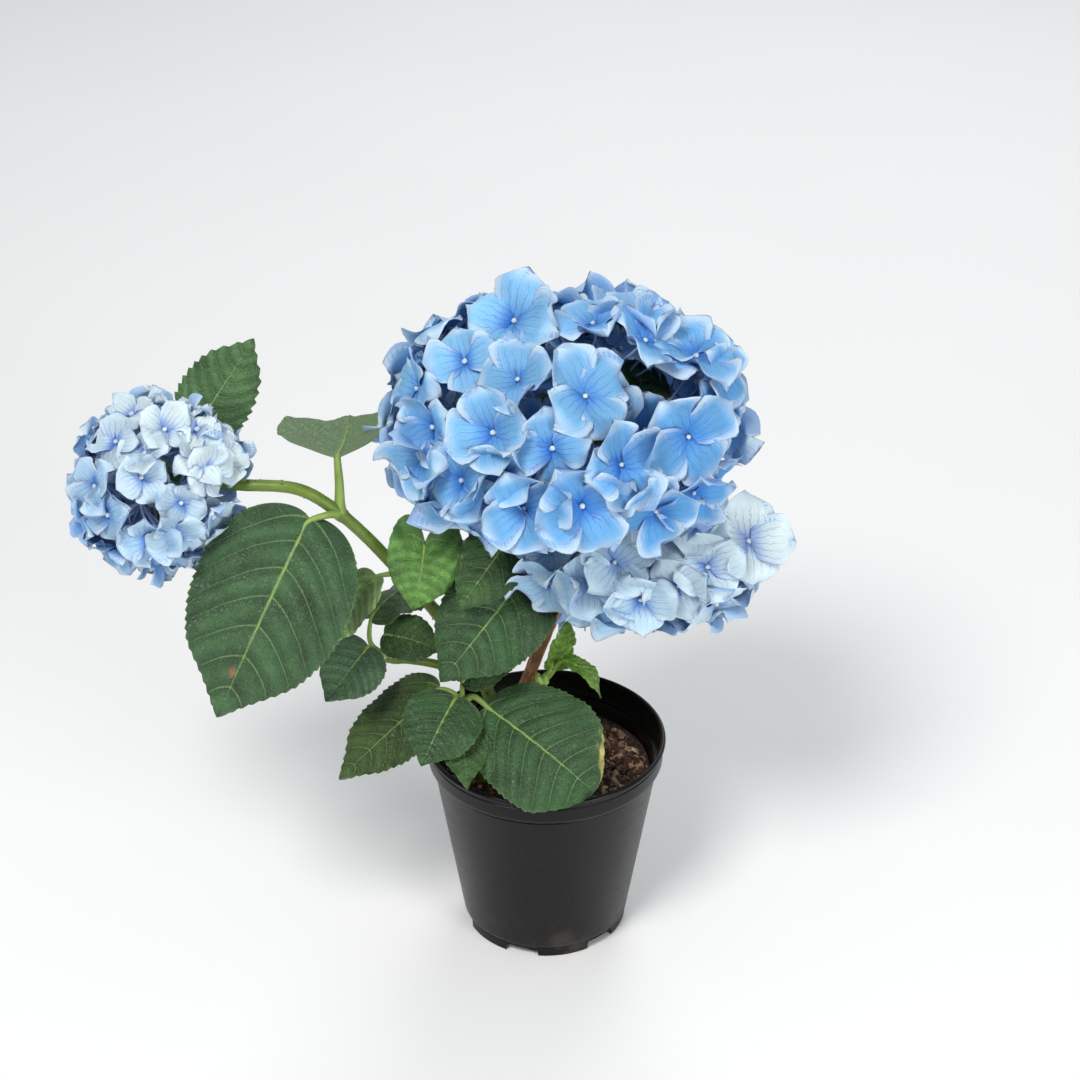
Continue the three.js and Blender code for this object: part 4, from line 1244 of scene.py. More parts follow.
@dataclass
class PottingMix:
    """The mix: a lumpy ground with chips, fibres and white perlite strewn on it."""

    radius: float = 56.6
    depth: float = 8.0
    around: int = 150
    rows: int = 60
    bare_edge: float = 3.5
    waves: tuple[float, ...] = (24.0, 15.0, 9.0, 6.0, 4.2, 3.0)

    def ground(self) -> Patch:
        """The lumpy body of the mix, closed below.

        Returns:
            Its skin.
        """
        under = SOIL_TOP - self.depth
        outline = [(MIDDLE_RING, under), (self.radius, under), (self.radius, SOIL_TOP - 1.6)]
        outline += [(self.radius * share, SOIL_TOP) for share in np.linspace(0.97, 0.008, self.rows)]
        rings = turned(outline, self.around)
        x, y, height = np.moveaxis(rings, -1, 0)
        dice = Dice(5)
        lumps = np.zeros_like(x)
        for wave in np.repeat(self.waves, 3):
            angle, phase = dice.between(0, math.pi), dice.between(0, 2 * math.pi)
            across = x * math.cos(angle) + y * math.sin(angle)
            lumps += (0.12 + wave / 60) * np.sin(across * 2 * math.pi / wave + phase)
        share = np.hypot(x, y) / self.radius
        mound = 0.6 * (1 - share**2) - 2.4
        top = height > SOIL_TOP - 0.1
        rings[..., 2] += np.where(top, mound + lumps * smooth(0.0, 0.05, share), 0)
        return Patch(rings, np.zeros_like(rings))

    def top(self, ground: bpy.types.Mesh) -> bpy.types.Mesh:
        """The part of the ground that looks up, inside its bare edge.

        Args:
            ground: the ground's mesh.

        Returns:
            A new mesh.
        """
        within = (self.radius - self.bare_edge) * MM
        upper = [face for face in ground.polygons if face.normal.z > 0.3]
        faces = [tuple(face.vertices) for face in upper if face.center.xy.length < within]
        points = [tuple(vertex.co) for vertex in ground.vertices]
        kept = ground.copy()
        kept.clear_geometry()
        kept.from_pydata(points, [], faces)
        return kept

    def build(self, kit: Kit) -> None:
        """Builds the ground and strews the rest over it.

        Args:
            kit: the finishes and the sprinklers.
        """
        ground = make_piece("mix_ground", [self.ground()], kit.mix, ["potting_mix"])
        top = self.top(ground.data)
        lumps, strands = Sprinkler("crumbs", Crumb.LUMP), Sprinkler("fibres", Crumb.STRAND)
        layers = (
            ("mix_crumbs", lumps, kit.crumb, 3, 90000.0, 0.0012, 0.0038, 0.8, 1.3, 1.3),
            ("mix_bark_chips", lumps, kit.chip, 11, 22000.0, 0.0022, 0.0056, 0.5, 1.6, 1.2),
            ("mix_fibres", strands, kit.fibre, 23, 36000.0, 0.003, 0.009, 1.0, 1.0, 0.0),
            ("mix_perlite", lumps, kit.perlite, 8, 2600.0, 0.0014, 0.0036, 0.85, 1.1, 0.7),
        )
        for name, sprinkler, finish, seed, *sizes in layers:
            values = dict(zip(Sprinkler.SIZES, sizes)) | {"Seed": seed}
            sprinkler.spread(name, top.copy(), finish, values, "potting_mix")


@dataclass(frozen=True)
class Cane:
    """One cane from the mix, or from another cane, to its tip.

    Args:
        name: the piece's name.
        route: its middle line.
        radii: its radius at the foot and at the tip.
        stands_for: the solids that it stands for.
        joints: how far along its leaf nodes lie.
        bark: whether it is woody and peeling.
        flare: whether it widens at the ground.
        stop: how far along it ends.
    """

    name: str
    route: Route
    radii: tuple[float, float]
    stands_for: tuple[str, ...]
    joints: tuple[float, ...] = ()
    bark: bool = False
    flare: bool = True
    stop: float | None = None

    def radius_at(self, distance: np.ndarray, turn: np.ndarray) -> np.ndarray:
        """Its radius with taper, flare, swollen leaf nodes and the relief of its rind.

        Args:
            distance: millimetres along it.
            turn: the turn round it, in radians.

        Returns:
            The radius for each distance and turn.
        """
        start, end = self.radii
        radius = start + (end - start) * distance / self.route.length
        if self.flare:
            share = np.clip(1 - np.clip(distance - (SOIL_TOP - BURIED), 0, None) / FLARE_HEIGHT, 0, 1)
            radius = radius + FLARE * share**2
        for joint in self.joints:
            radius = radius * (1 + KNUCKLE_SWELL * hump(distance - joint, KNUCKLE_REACH))
            radius = radius + SCAR_RISE * hump(distance - joint + SCAR_DROP, SCAR_HALF)
        dice = Dice(len(self.name) * 13 + 1)
        relief = np.zeros(np.broadcast(distance, turn).shape)
        for waves in (2, 3, 5, 8, 13):
            drift, phase = dice.between(-0.12, 0.12), dice.between(0, 6.28)
            relief = relief + np.sin(waves * turn + drift * distance * waves + phase) / math.sqrt(waves)
            relief = relief + 0.5 * np.sin(distance * (0.3 + 0.2 * waves) + 2 * turn + phase) / waves
        return radius * (1 + (BARK_RELIEF if self.bark else RIND_RELIEF) * relief)

    def build(self, kit: Kit) -> None:
        """Builds the cane and the lenticels on it.

        Args:
            kit: the finishes and the sprinklers.
        """
        stop = self.stop or self.route.length
        patch = tube(self.route, stop, self.radius_at, 48, int(stop * 1.2))
        finish, slot, density = (kit.bark, "bark", 9000.0) if self.bark else (kit.rind, "green_cane", 14000.0)
        piece = make_piece(self.name, [patch], finish, self.stands_for)
        sizes = (density, 0.0006, 0.0013, 0.35, 1.5, 0.3)
        values = dict(zip(Sprinkler.SIZES, sizes)) | {"Seed": len(self.name)}
        kit.dots.spread(self.name + "_lenticels", piece.data.copy(), kit.lenticel, values, slot)


MAIN = Route(
    ((-29, 12, BURIED), (-11, 11, 142), (4, 9, 185), (12, 7.6, 208), (21, 6, 234), (29, 4, 256), (45, 0, 303))
)
ARM = Route(
    (
        (-23, -3, BURIED), (-31, -2, 146), (-55, -6, 194), (-75, -12, 226), (-104, -20, 265),
        (-124, -22, 280), (-152, -21, 282), (-172, -18, 282), (-190, -15, 282),
    )
)
SIDE_SHOOT = Route(((-32, -2, 150), (-48, -7, 163), (-66, -13, 172), (-83, -20, 178)))
LOW_SHOOT = Route(((-35, -11, BURIED), (-40, -20, 130), (-44, -30, 160)))
BACK_SHOOT = Route(((-16, 25, BURIED), (-8, 36, 130), (-2, 48, 165)))
SPROUT = Route(((-12, 11, 138), (-7, 6, 142), (-3, 2, 148)))
LOWER_STALK = Route(((25, 5, 246), (33, 0, 240), (44, -8, 232)))
MAIN_BLOOM_AT = MAIN.mark(5)

CANES = (
    Cane(
        "main_cane", MAIN, (3.5, 2.6), ("main_stem_lower", "main_stem_middle", "main_stem_upper"),
        (MAIN.mark(3), MAIN.mark(4)), bark=True, stop=MAIN_BLOOM_AT + MAIN_STALK_LENGTH,
    ),
    Cane(
        "left_arm_cane", ARM, (3.7, 2.9), ("left_arm_lower", "left_arm_middle", "left_arm_outer"),
        (ARM.mark(3), ARM.mark(4), ARM.mark(7)),
    ),
    Cane(
        "side_shoot_cane", SIDE_SHOOT, SHOOT_RADII, ("left_side_shoot",), (SIDE_SHOOT.last_node,), flare=False
    ),
    Cane("low_shoot_cane", LOW_SHOOT, SHOOT_RADII, ("low_front_shoot",), (LOW_SHOOT.last_node,)),
    Cane("back_shoot_cane", BACK_SHOOT, SHOOT_RADII, ("back_shoot",), (BACK_SHOOT.last_node,)),
)


def thin_skin(
    sides: Sequence[np.ndarray], along: np.ndarray, across: np.ndarray, upper: int
) -> tuple[np.ndarray, np.ndarray]:
    """Joins the two sides of a thin blade into closed rings.

    Args:
        sides: the points of both, by row and column.
        along: from 0 at the foot to 1 at the tip, as a column.
        across: from -1 at the left margin to 1 at the right one, as a row.
        upper: which of the two is the upper side.

    Returns:
        The rings, and the share along and across at each point with 1 on the upper side.
    """
    rings = np.concatenate([sides[0], sides[1][:, ::-1]], axis=1)
    place = np.zeros_like(rings)
    place[..., 0] = along
    place[..., 1] = np.concatenate([across, across[:, ::-1]], axis=1)
    columns = across.shape[1]
    place[:, upper * columns : (upper + 1) * columns, 2] = 1.0
    return rings, place


@dataclass(frozen=True)
class Leaf:
    """One leaf.

    Args:
        base: where its blade starts.
        tip: where it ends.
        face: the way that its upper side looks.
        width: its full width.
        via: a point that its stalk passes.
        arch: how far the midrib bows up, as a share of its length.
        fold: how far each half is folded up, in degrees.
        droop: how far the margins bend back.
        thick: the stalk's radius at the cane.
        tone: its colour.
        wave: how wavy it is.
        seed: seed of its waves.
        lobe: how far the halves reach back beside the stalk.
        tooth: how large its teeth are.
        crinkle: how crumpled it is.
        scorch: a dried spot: along, across and radius.
        dried: the spot's colour.
        blunt: how round its tip is.
    """

    base: Triple
    tip: Triple
    face: Triple
    width: float
    via: Triple | None = None
    arch: float = 0.08
    fold: float = 14.0
    droop: float = 0.12
    thick: float = PETIOLE_RADIUS
    tone: Tone = Tone.BROAD
    wave: float = 1.0
    seed: int = 1
    lobe: float = BASE_LOBE
    tooth: float = 1.0
    crinkle: float = 0.0
    scorch: Triple | None = None
    dried: Colour = DRIED
    blunt: float = 0.0

    @property
    def length(self) -> float:
        """From the foot of the blade to its tip."""
        return float(np.linalg.norm(np.subtract(self.tip, self.base)))

    @property
    def thickness(self) -> float:
        """Half the blade's thickness along its middle."""
        return max(0.25, self.length * 0.005)

    def share(self, along: np.ndarray) -> np.ndarray:
        """How wide the blade is, as a share of its full width.

        Args:
            along: from 0 at the foot to 1 at the tip.

        Returns:
            The share.
        """
        pointed = 1 - self.blunt
        plain = along**FULLNESS * (1 - along) ** (TIP_FULLNESS * pointed) / FULL_WIDTH
        fitted = plain * (1 - WIDEST_AT) ** (TIP_FULLNESS * self.blunt)
        return fitted * (1 - TIP_NARROWING * pointed * smooth(0.7, 1.02, along))

    def spot(self, along: object, across: object, lift: object = 0.0, reach: object = None) -> np.ndarray:
        """Where points of the blade lie.

        Args:
            along: from 0 at the foot to 1 at the tip.
            across: from -1 at the left margin to 1 at the right one.
            lift: millimetres off the middle of the blade's thickness.
            reach: half the width there in millimetres, where it isn't the plain outline.

        Returns:
            The points, in millimetres.
        """
        along, across = np.broadcast_arrays(np.asarray(along, float), np.asarray(across, float))
        way = np.subtract(self.tip, self.base) / self.length
        up = np.asarray(self.face, float)
        up = unit(up - way * up.dot(way))
        lean = math.radians(self.fold)
        half = self.width / 2 * self.share(along) if reach is None else reach
        rise = half * (np.sqrt(across**2 + 0.0016) * math.sin(lean) - self.droop * across**2)
        rise = rise + self.length * self.arch * 4 * along * (1 - along) + lift
        back = self.lobe * across**2 * (1 - along) ** 2 * (1 if reach is None else np.sqrt(self.share(along)))
        return (
            np.asarray(self.base, float)
            + way * (self.length * (along - back))[..., None]
            + np.cross(way, up) * (across * half * math.cos(lean))[..., None]
            + up * rise[..., None]
        )

    def outline(self) -> tuple[np.ndarray, np.ndarray, np.ndarray]:
        """The blade's grid of rows and columns, and its margin with teeth.

        Returns:
            The share along, as a column, the share across, as a row, and half the width at each point.
        """
        teeth = int(np.clip(self.length / (2.4 + 0.7 * self.tooth), 11, 32))
        rows = TOOTH_ROWS * teeth + 1
        step = np.linspace(0, 1, rows)[:, None]
        along = 0.0006 + 0.9974 * step**1.25
        inner = np.linspace(-0.97, 0.97, int(np.clip(self.width * 0.55, 16, 40)) - 2)
        across = np.concatenate([[-1], inner, [1]])[None, :]
        half = self.width / 2 * self.share(along)
        tooth = np.where(np.arange(rows)[:, None] % TOOTH_ROWS == 0, 0.0, (step * teeth) % 1)
        size = self.tooth * min(1.5, 0.35 + self.length * 0.012)
        strength = smooth(0.06, 0.2, along) * smooth(1.0, 0.93, along) * np.minimum(1, half / 5)
        return along, across, half + size * (tooth - 0.55) * strength * smooth(0.72, 1.0, np.abs(across))

    def relief(self, along: np.ndarray, across: np.ndarray, phase: float) -> np.ndarray:
        """How far the blade rises: its wavy margin, the pillows between its veins, and its folds.

        Args:
            along: from 0 at the foot to 1 at the tip.
            across: from -1 at the left margin to 1 at the right one.
            phase: where its waves start.

        Returns:
            The rise, in millimetres.
        """
        out = np.abs(across)
        long = np.sin(2 * math.pi * 2.1 * along + phase + across * 0.8) * out**2.5
        short = np.sin(2 * math.pi * 5.3 * along + 2 * phase - across) * out**4
        slow = np.sin(2 * math.pi * 1.1 * along + 3 * phase) * across
        rise = self.wave * (0.034 * long + 0.014 * short + 0.02 * slow)
        root = along - VEIN_SWEEP * (out * self.share(along)) ** VEIN_BEND
        beat = SIDE_VEINS * (np.maximum(root, 0) ** VEIN_CROWDING + BASE_VEINS * np.minimum(root, 0))
        near = 0.5 - np.abs(beat % 1 - 0.5)
        pillow = 0.011 * (smooth(0.0, 0.4, near) - 0.6) * (1 - out**6) * smooth(0, 0.1, along)
        groove = -0.0035 * hump(out, 0.05)
        folds = np.sin(19 * along + 5 * across + phase) * np.sin(11 * across - 8 * along + 2 * phase)
        return self.length * (rise + pillow + groove + self.crinkle * folds * smooth(0.0, 0.3, out))

    def blade(self) -> Patch:
        """The blade as a thin closed skin.

        Returns:
            The skin, coloured where it has dried out.
        """
        along, across, reach = self.outline()
        dice = Dice(self.seed * 977 + 5)
        rise = self.relief(along, across, dice.between(0, 6.28))
        thick = self.thickness * (1 - 0.72 * np.abs(across) ** 6)
        sides = [self.spot(along, across, rise + lift, reach) for lift in (thick, -thick)]
        rings, place = thin_skin(sides, along, across, upper=0)
        return Patch(rings, place, self.tone.value, dice.roll(), self.scorched(place))

    def scorched(self, place: np.ndarray) -> np.ndarray | None:
        """The blade's colour where a spot of it has dried out.

        Args:
            place: the share along and across at each point.

        Returns:
            The colour at each point, or None where nothing has dried.
        """
        if self.scorch is None:
            return None
        along, across, radius = self.scorch
        far = np.hypot((place[..., 0] - along) * self.length, (place[..., 1] - across) * self.width / 2)
        ragged = 1 + 0.3 * np.sin(place[..., 0] * 61) * np.sin(place[..., 1] * 23)
        share = smooth(1.0, 0.55, far * ragged / radius)[..., None]
        return np.asarray(self.tone.value) * (1 - share) + np.asarray(self.dried) * share

    def petiole(self, start: np.ndarray, tint: Colour) -> Patch:
        """The stalk from the cane to the blade, which runs on under the blade as its midrib.

        Args:
            start: where it leaves the cane.
            tint: its colour.

        Returns:
            Its skin.
        """
        base = np.asarray(self.base, float)
        middle = np.asarray(self.via, float) if self.via else (start + base) / 2 + np.array([0, 0, 2.0])
        below = -(self.thickness + 0.1)
        under = [self.spot(share, 0.0, below) for share in (PETIOLE_SUNK, 0.3, 0.55, 0.78, 0.95)]
        route = Route([start, middle, base + (under[0] - base) * 0.2, *under])
        blade_at = route.mark(2)

        def radius_at(distance: np.ndarray, turn: np.ndarray) -> np.ndarray:
            """Thick at the cane, slender as a midrib, and slightly ribbed.

            Args:
                distance: how far along the stalk.
                turn: how far round it.

            Returns:
                The radius.
            """
            stalk = self.thick * (1 - 0.38 * np.clip(distance / blade_at, 0, 1))
            stalk = stalk * (1 + 0.35 * hump(distance, 4.0))
            beyond = np.clip((distance - blade_at) / (route.length - blade_at), 0, 1)
            rib = lerp(0.5 * self.thick, 0.18, beyond)
            share = smooth(blade_at - 2, blade_at + 6, distance)
            return lerp(stalk, rib, share) * (1 + 0.05 * np.sin(3 * turn))

        return tube(route, route.length, radius_at, 14, int(route.length * 0.7) + 6, tint)


@dataclass
class LeafMass:
    """The leaves of one node of a cane, which leave its route so far along."""

    name: str
    route: Route
    at: float
    leaves: Sequence[Leaf]
    tint: Colour = rgb(132, 158, 78)
    slot: str = "leaf"

    def build(self, kit: Kit) -> None:
        """Builds the stalks as one piece, each large blade as its own, and the other blades as one.

        Args:
            kit: the finishes and the sprinklers.
        """
        start = self.route.at(self.at)
        stalks = [leaf.petiole(start, self.tint) for leaf in self.leaves]
        make_piece(f"{self.name}_stalks", stalks, kit.stalk, [self.name])
        large = [leaf.blade() for leaf in self.leaves if leaf.length >= LARGE_LEAF]
        small = [leaf.blade() for leaf in self.leaves if leaf.length < LARGE_LEAF]
        for number, blade in enumerate(large, 1):
            make_piece(f"{self.name}_large_blade_{number}", [blade], kit.leaf)
        if small:
            make_piece(f"{self.name}_blades", small, kit.leaf)


MASSES = (
    LeafMass("leaves_arm_pair", ARM, ARM.mark(4), (
        Leaf(
            (-105, -10, 292), (-103, 50, 284), (0.1, -0.25, -1), 70, (-104, -15, 278), arch=0.06, fold=-24,
            droop=0, thick=2.9, tone=Tone.PALE, wave=0.6, seed=3, tooth=0.3,
        ),
        Leaf(
            (-119, -29, 267), (-165, -78, 180), FRONT, 83, (-110, -27, 268), arch=0.07, fold=10, droop=0.16,
            thick=2.2, tone=Tone.BROAD, wave=0.7, seed=4, lobe=0.08, scorch=(0.77, 0.08, 3.2), dried=SCAR,
        ),
    )),
    LeafMass("leaves_curled_pair", ARM, ARM.mark(3), (
        # This leaf's tone is painted light: paler to make up for the shade that the leaf above casts on it.
        Leaf(
            (-87, -16, 226), (-107, -34, 197), (-0.5, -0.7, 0.5), 29, (-80, -14, 226), arch=0.1, fold=22,
            tone=Tone.SHADED, seed=5,
        ),
        # This leaf's tone is a painted sheen: lighter green for its highlights and against the shade of the
        # blooms.
        Leaf(
            (-62, -16, 244), (-67, -37, 218), (0.1, -1, 0.3), 46, (-67, -8, 240), arch=0.12, fold=34,
            droop=0.3, tone=Tone.GLOSSY, wave=1.8, seed=6, lobe=0.75, crinkle=0.03,
        ),
    )),
    LeafMass("leaves_side_shoot", SIDE_SHOOT, SIDE_SHOOT.last_node, (
        Leaf((-92, -25, 189), (-113, -50, 171), FRONT, 35, (-87, -22, 184), tone=Tone.BLUISH, seed=7),
        Leaf(
            (-84, -15, 190), (-54, -22, 184), (0, -0.6, 0.8), 28, (-84, -18, 182), arch=0.1, tone=Tone.DARK,
            seed=8,
        ),
        Leaf(
            (-91, -12, 198), (-62, 22, 196), (-0.35, -0.2, 0.9), 36, (-91, -18, 186), arch=0.16, fold=-10,
            tone=Tone.DARK, seed=9,
        ),
    )),
    LeafMass("leaves_low_shoot", LOW_SHOOT, LOW_SHOOT.last_node, (
        Leaf(
            (-30, -32, 155), (25, -64, 124), (0.05, -0.65, 0.76), 64, (-38, -30, 161), arch=0.07, fold=6,
            droop=0.1, thick=2, tone=Tone.FRESH, wave=0.8, seed=10, scorch=(0.9, -1.0, 10.0), blunt=0.42,
        ),
        Leaf(
            (-47, -36, 164), (-64, -66, 142), (-0.1, -0.8, 0.6), 42, arch=0.1, fold=8, tone=Tone.FRESH,
            seed=11,
        ),
        Leaf(
            (-56, -20, 160), (-108, -52, 124), (-0.2, -0.85, 0.5), 38, (-49, -26, 161), arch=0.04, fold=8,
            tone=Tone.OLIVE, wave=1.4, seed=12,
        ),
        Leaf((-44, -24, 166), (-6, 2, 181), (0.1, -0.5, 0.85), 26, fold=10, tone=Tone.DARK, seed=13),
        Leaf(
            (-44, -36, 152), (-40, -72, 132), (0, -0.5, 0.85), 26, (-44, -32, 157), arch=0.05, tone=Tone.DARK,
            seed=14,
        ),
    )),
    LeafMass("leaves_centre", MAIN, MAIN.mark(3), (
        Leaf(
            (-8, -6, 224), (-54, -50, 183), (0.05, -0.85, 0.5), 58, (5, 2, 214), arch=0.07, fold=8,
            droop=0.16, tone=Tone.FRESH, seed=15,
        ),
        Leaf((34, 28, 212), (66, 82, 182), (0.3, 0.5, 0.8), 56, (22, 17, 210), 0.1, seed=16),
        Leaf((-8, 34, 210), (-44, 82, 184), (-0.3, 0.5, 0.8), 52, (2, 18, 208), 0.1, seed=17),
    )),
    LeafMass("leaves_upper", MAIN, MAIN.mark(4), (
        Leaf(
            (-14, -8, 252), (-45, -44, 222), (0.1, -0.85, 0.5), 36, (6, -1, 243), arch=0.06, fold=6,
            tone=Tone.DARK, seed=18,
        ),
        Leaf((20, 36, 240), (14, 100, 214), (0, 0.5, 0.85), 60, (22, 20, 238), 0.1, seed=19),
    )),
    LeafMass("leaves_back_shoot", BACK_SHOOT, BACK_SHOOT.last_node, (
        Leaf((-10, 58, 170), (-46, 104, 140), (-0.3, 0.6, 0.8), 50, arch=0.1, seed=20),
        Leaf((8, 58, 168), (48, 100, 140), (0.3, 0.6, 0.8), 48, arch=0.1, tone=Tone.FRESH, seed=21),
        Leaf((-12, 44, 172), (-62, 40, 166), (-0.3, 0.1, 0.95), 40, arch=0.12, tone=Tone.DARK, seed=22),
    )),
    LeafMass("leaves_by_left_bloom", ARM, ARM.mark(7), (
        Leaf(
            (-181, 24, 289), (-149, 38, 335), (0.1, -0.85, 0.5), 40, (-168, 4, 284), arch=0.04, fold=8,
            tone=Tone.SAGE, wave=0.7, seed=23, tooth=2.1,
        ),
        Leaf(
            (-178, 28, 262), (-239, 34, 222), (-0.3, -0.6, 0.7), 36, (-166, 4, 272), arch=0.06,
            tone=Tone.DARK, seed=24,
        ),
    )),
    LeafMass("leaves_sprout", SPROUT, SPROUT.length * 0.9, (
        Leaf(
            (3, -1, 160), (12, -3, 193), (0.45, -0.9, 0.1), 21, (0, 2, 152), arch=-0.05, fold=40,
            tone=Tone.YOUNG, seed=25, crinkle=0.03,
        ),
        Leaf(
            (8, -3, 166), (29, -14, 149), (0.2, -0.4, 0.9), 11, (2, 1, 154), arch=0.3, fold=24,
            tone=Tone.YOUNG, seed=26,
        ),
    ), tint=rgb(160, 190, 96), slot="young_leaf"),
)


@dataclass(frozen=True)
class Floret:
    """One floret.

    Args:
        centre: where its middle lies.
        facing: the way that it looks.
        size: its full width.
        spin: its turn about that way, in degrees.
        hue: its colour.
        seed: seed of its sepals' forms.
        toothed: how strongly its sepals are toothed.
    """

    centre: np.ndarray
    facing: np.ndarray
    size: float
    spin: float
    hue: Colour
    seed: int
    toothed: float = 0.0

    def sepals(self) -> list[Patch]:
        """Its four sepals, the first and third lying over the others.

        Returns:
            The skin of each.
        """
        dice = Dice(self.seed * 7919 + 3)
        opened = dice.between(-0.12, 0.2) + 0.4 * dice.roll() ** 3
        return [self.sepal(number, opened, dice) for number in range(SEPALS)]

    def sepal(self, number: int, opened: float, dice: Dice) -> Patch:
        """One sepal with its own length, width, cup, folds, teeth and ripples.

        Args:
            number: its place round the floret.
            opened: how far the floret's sepals rise.
            dice: the floret's dice.

        Returns:
            Its thin closed skin, in its own shade.
        """
        right, top = across_of(self.facing)
        step = np.linspace(0, 1, SEPAL_ROWS)[:, None]
        along = 0.05 + 0.95 * (0.004 + 0.99 * step**0.9)
        across = np.concatenate([[-1], np.linspace(-0.93, 0.93, SEPAL_COLUMNS - 2), [1]])[None, :]
        out = np.abs(across)
        turn = math.radians(self.spin + 90 * number + dice.between(-7, 7))
        way = right * math.cos(turn) + top * math.sin(turn)
        side = np.cross(self.facing, way)
        length = self.size / 2 * dice.between(0.94, 1.08)
        width = length * dice.between(1.0, 1.2)
        widest = SEPAL_WIDEST_AT**SEPAL_FULLNESS * (1 - SEPAL_WIDEST_AT) ** SEPAL_TIP_FULLNESS
        outline = along**SEPAL_FULLNESS * (1 - along) ** SEPAL_TIP_FULLNESS / widest
        outline = outline * (1 - dice.between(0.15, 0.55) * smooth(0.68, 1.02, along))
        foot = 0.13 * (1 - smooth(0.0, 0.3, along))
        phase = dice.between(0, 6.28)
        teeth = self.toothed * 0.05 * np.sin(along * 44) * smooth(0.3, 0.6, along)
        ripple = 1 + (0.03 * np.sin(along * 9 + phase) + teeth) * out**4
        half = width / 2 * (outline * ripple + foot)
        cup = opened + dice.between(-0.1, 0.14) + SEPAL_WEIGHT * float(way[2])
        fold = dice.between(-0.06, 0.2)
        twist = dice.between(-0.3, 0.3)
        roll = dice.between(-0.14, 0.2)
        rise = 0.12 * np.sin(along * 2.6) + cup * along**1.6 - 0.12 * smooth(0.7, 1.05, along)
        rise = rise + (fold * out**1.5 + twist * across) * along
        rise = rise + roll * out**5 * smooth(0.2, 0.6, along)
        rise = rise + 0.075 * np.sin(along * 10 + phase + across * 2) * out**2
        rise = rise - 0.02 * hump(out, 0.16) * smooth(0.02, 0.3, along)
        rise = rise + 0.045 * np.sin(across * 5.5 + 2 * phase) * smooth(0.45, 1.0, along)
        rise = length * rise + (0 if number % 2 else SEPAL_STEP)
        thick = max(0.16, length * 0.0085) * (1 - 0.6 * out**6)
        flat = (
            self.centre
            + way * (length * (along - 0.04 * out**2 * along))[..., None]
            + side * (half * across)[..., None]
        )
        sides = [flat + self.facing * (rise + lift)[..., None] for lift in (-thick, thick)]
        rings, place = thin_skin(sides, along, across, upper=1)
        chance = dice.roll()
        bright = lerp(0.88, 1.08, chance)
        return Patch(rings, place, tuple(channel * bright for channel in self.hue), chance)

    def stalk(self, start: np.ndarray, tint: Colour) -> Patch:
        """Its slender stalk.

        Args:
            start: the joint that it grows from.
            tint: its colour.

        Returns:
            Its skin.
        """
        below = self.centre - self.facing * STALK_LEAD * self.size
        middle = (start + below) / 2 + np.array([0, 0, -1.5])
        route = Route([start, middle, below, self.centre - self.facing * 0.4])

        def radius_at(distance: np.ndarray, turn: np.ndarray) -> np.ndarray:
            """Thicker at both ends and slightly oval."""
            plain = 0.62 + 0.35 * hump(route.length - distance, 3.0) + 0.25 * hump(distance, 5)
            return plain * (1 + 0.03 * np.sin(2 * turn))

        return tube(route, route.length, radius_at, 8, 12, tint)


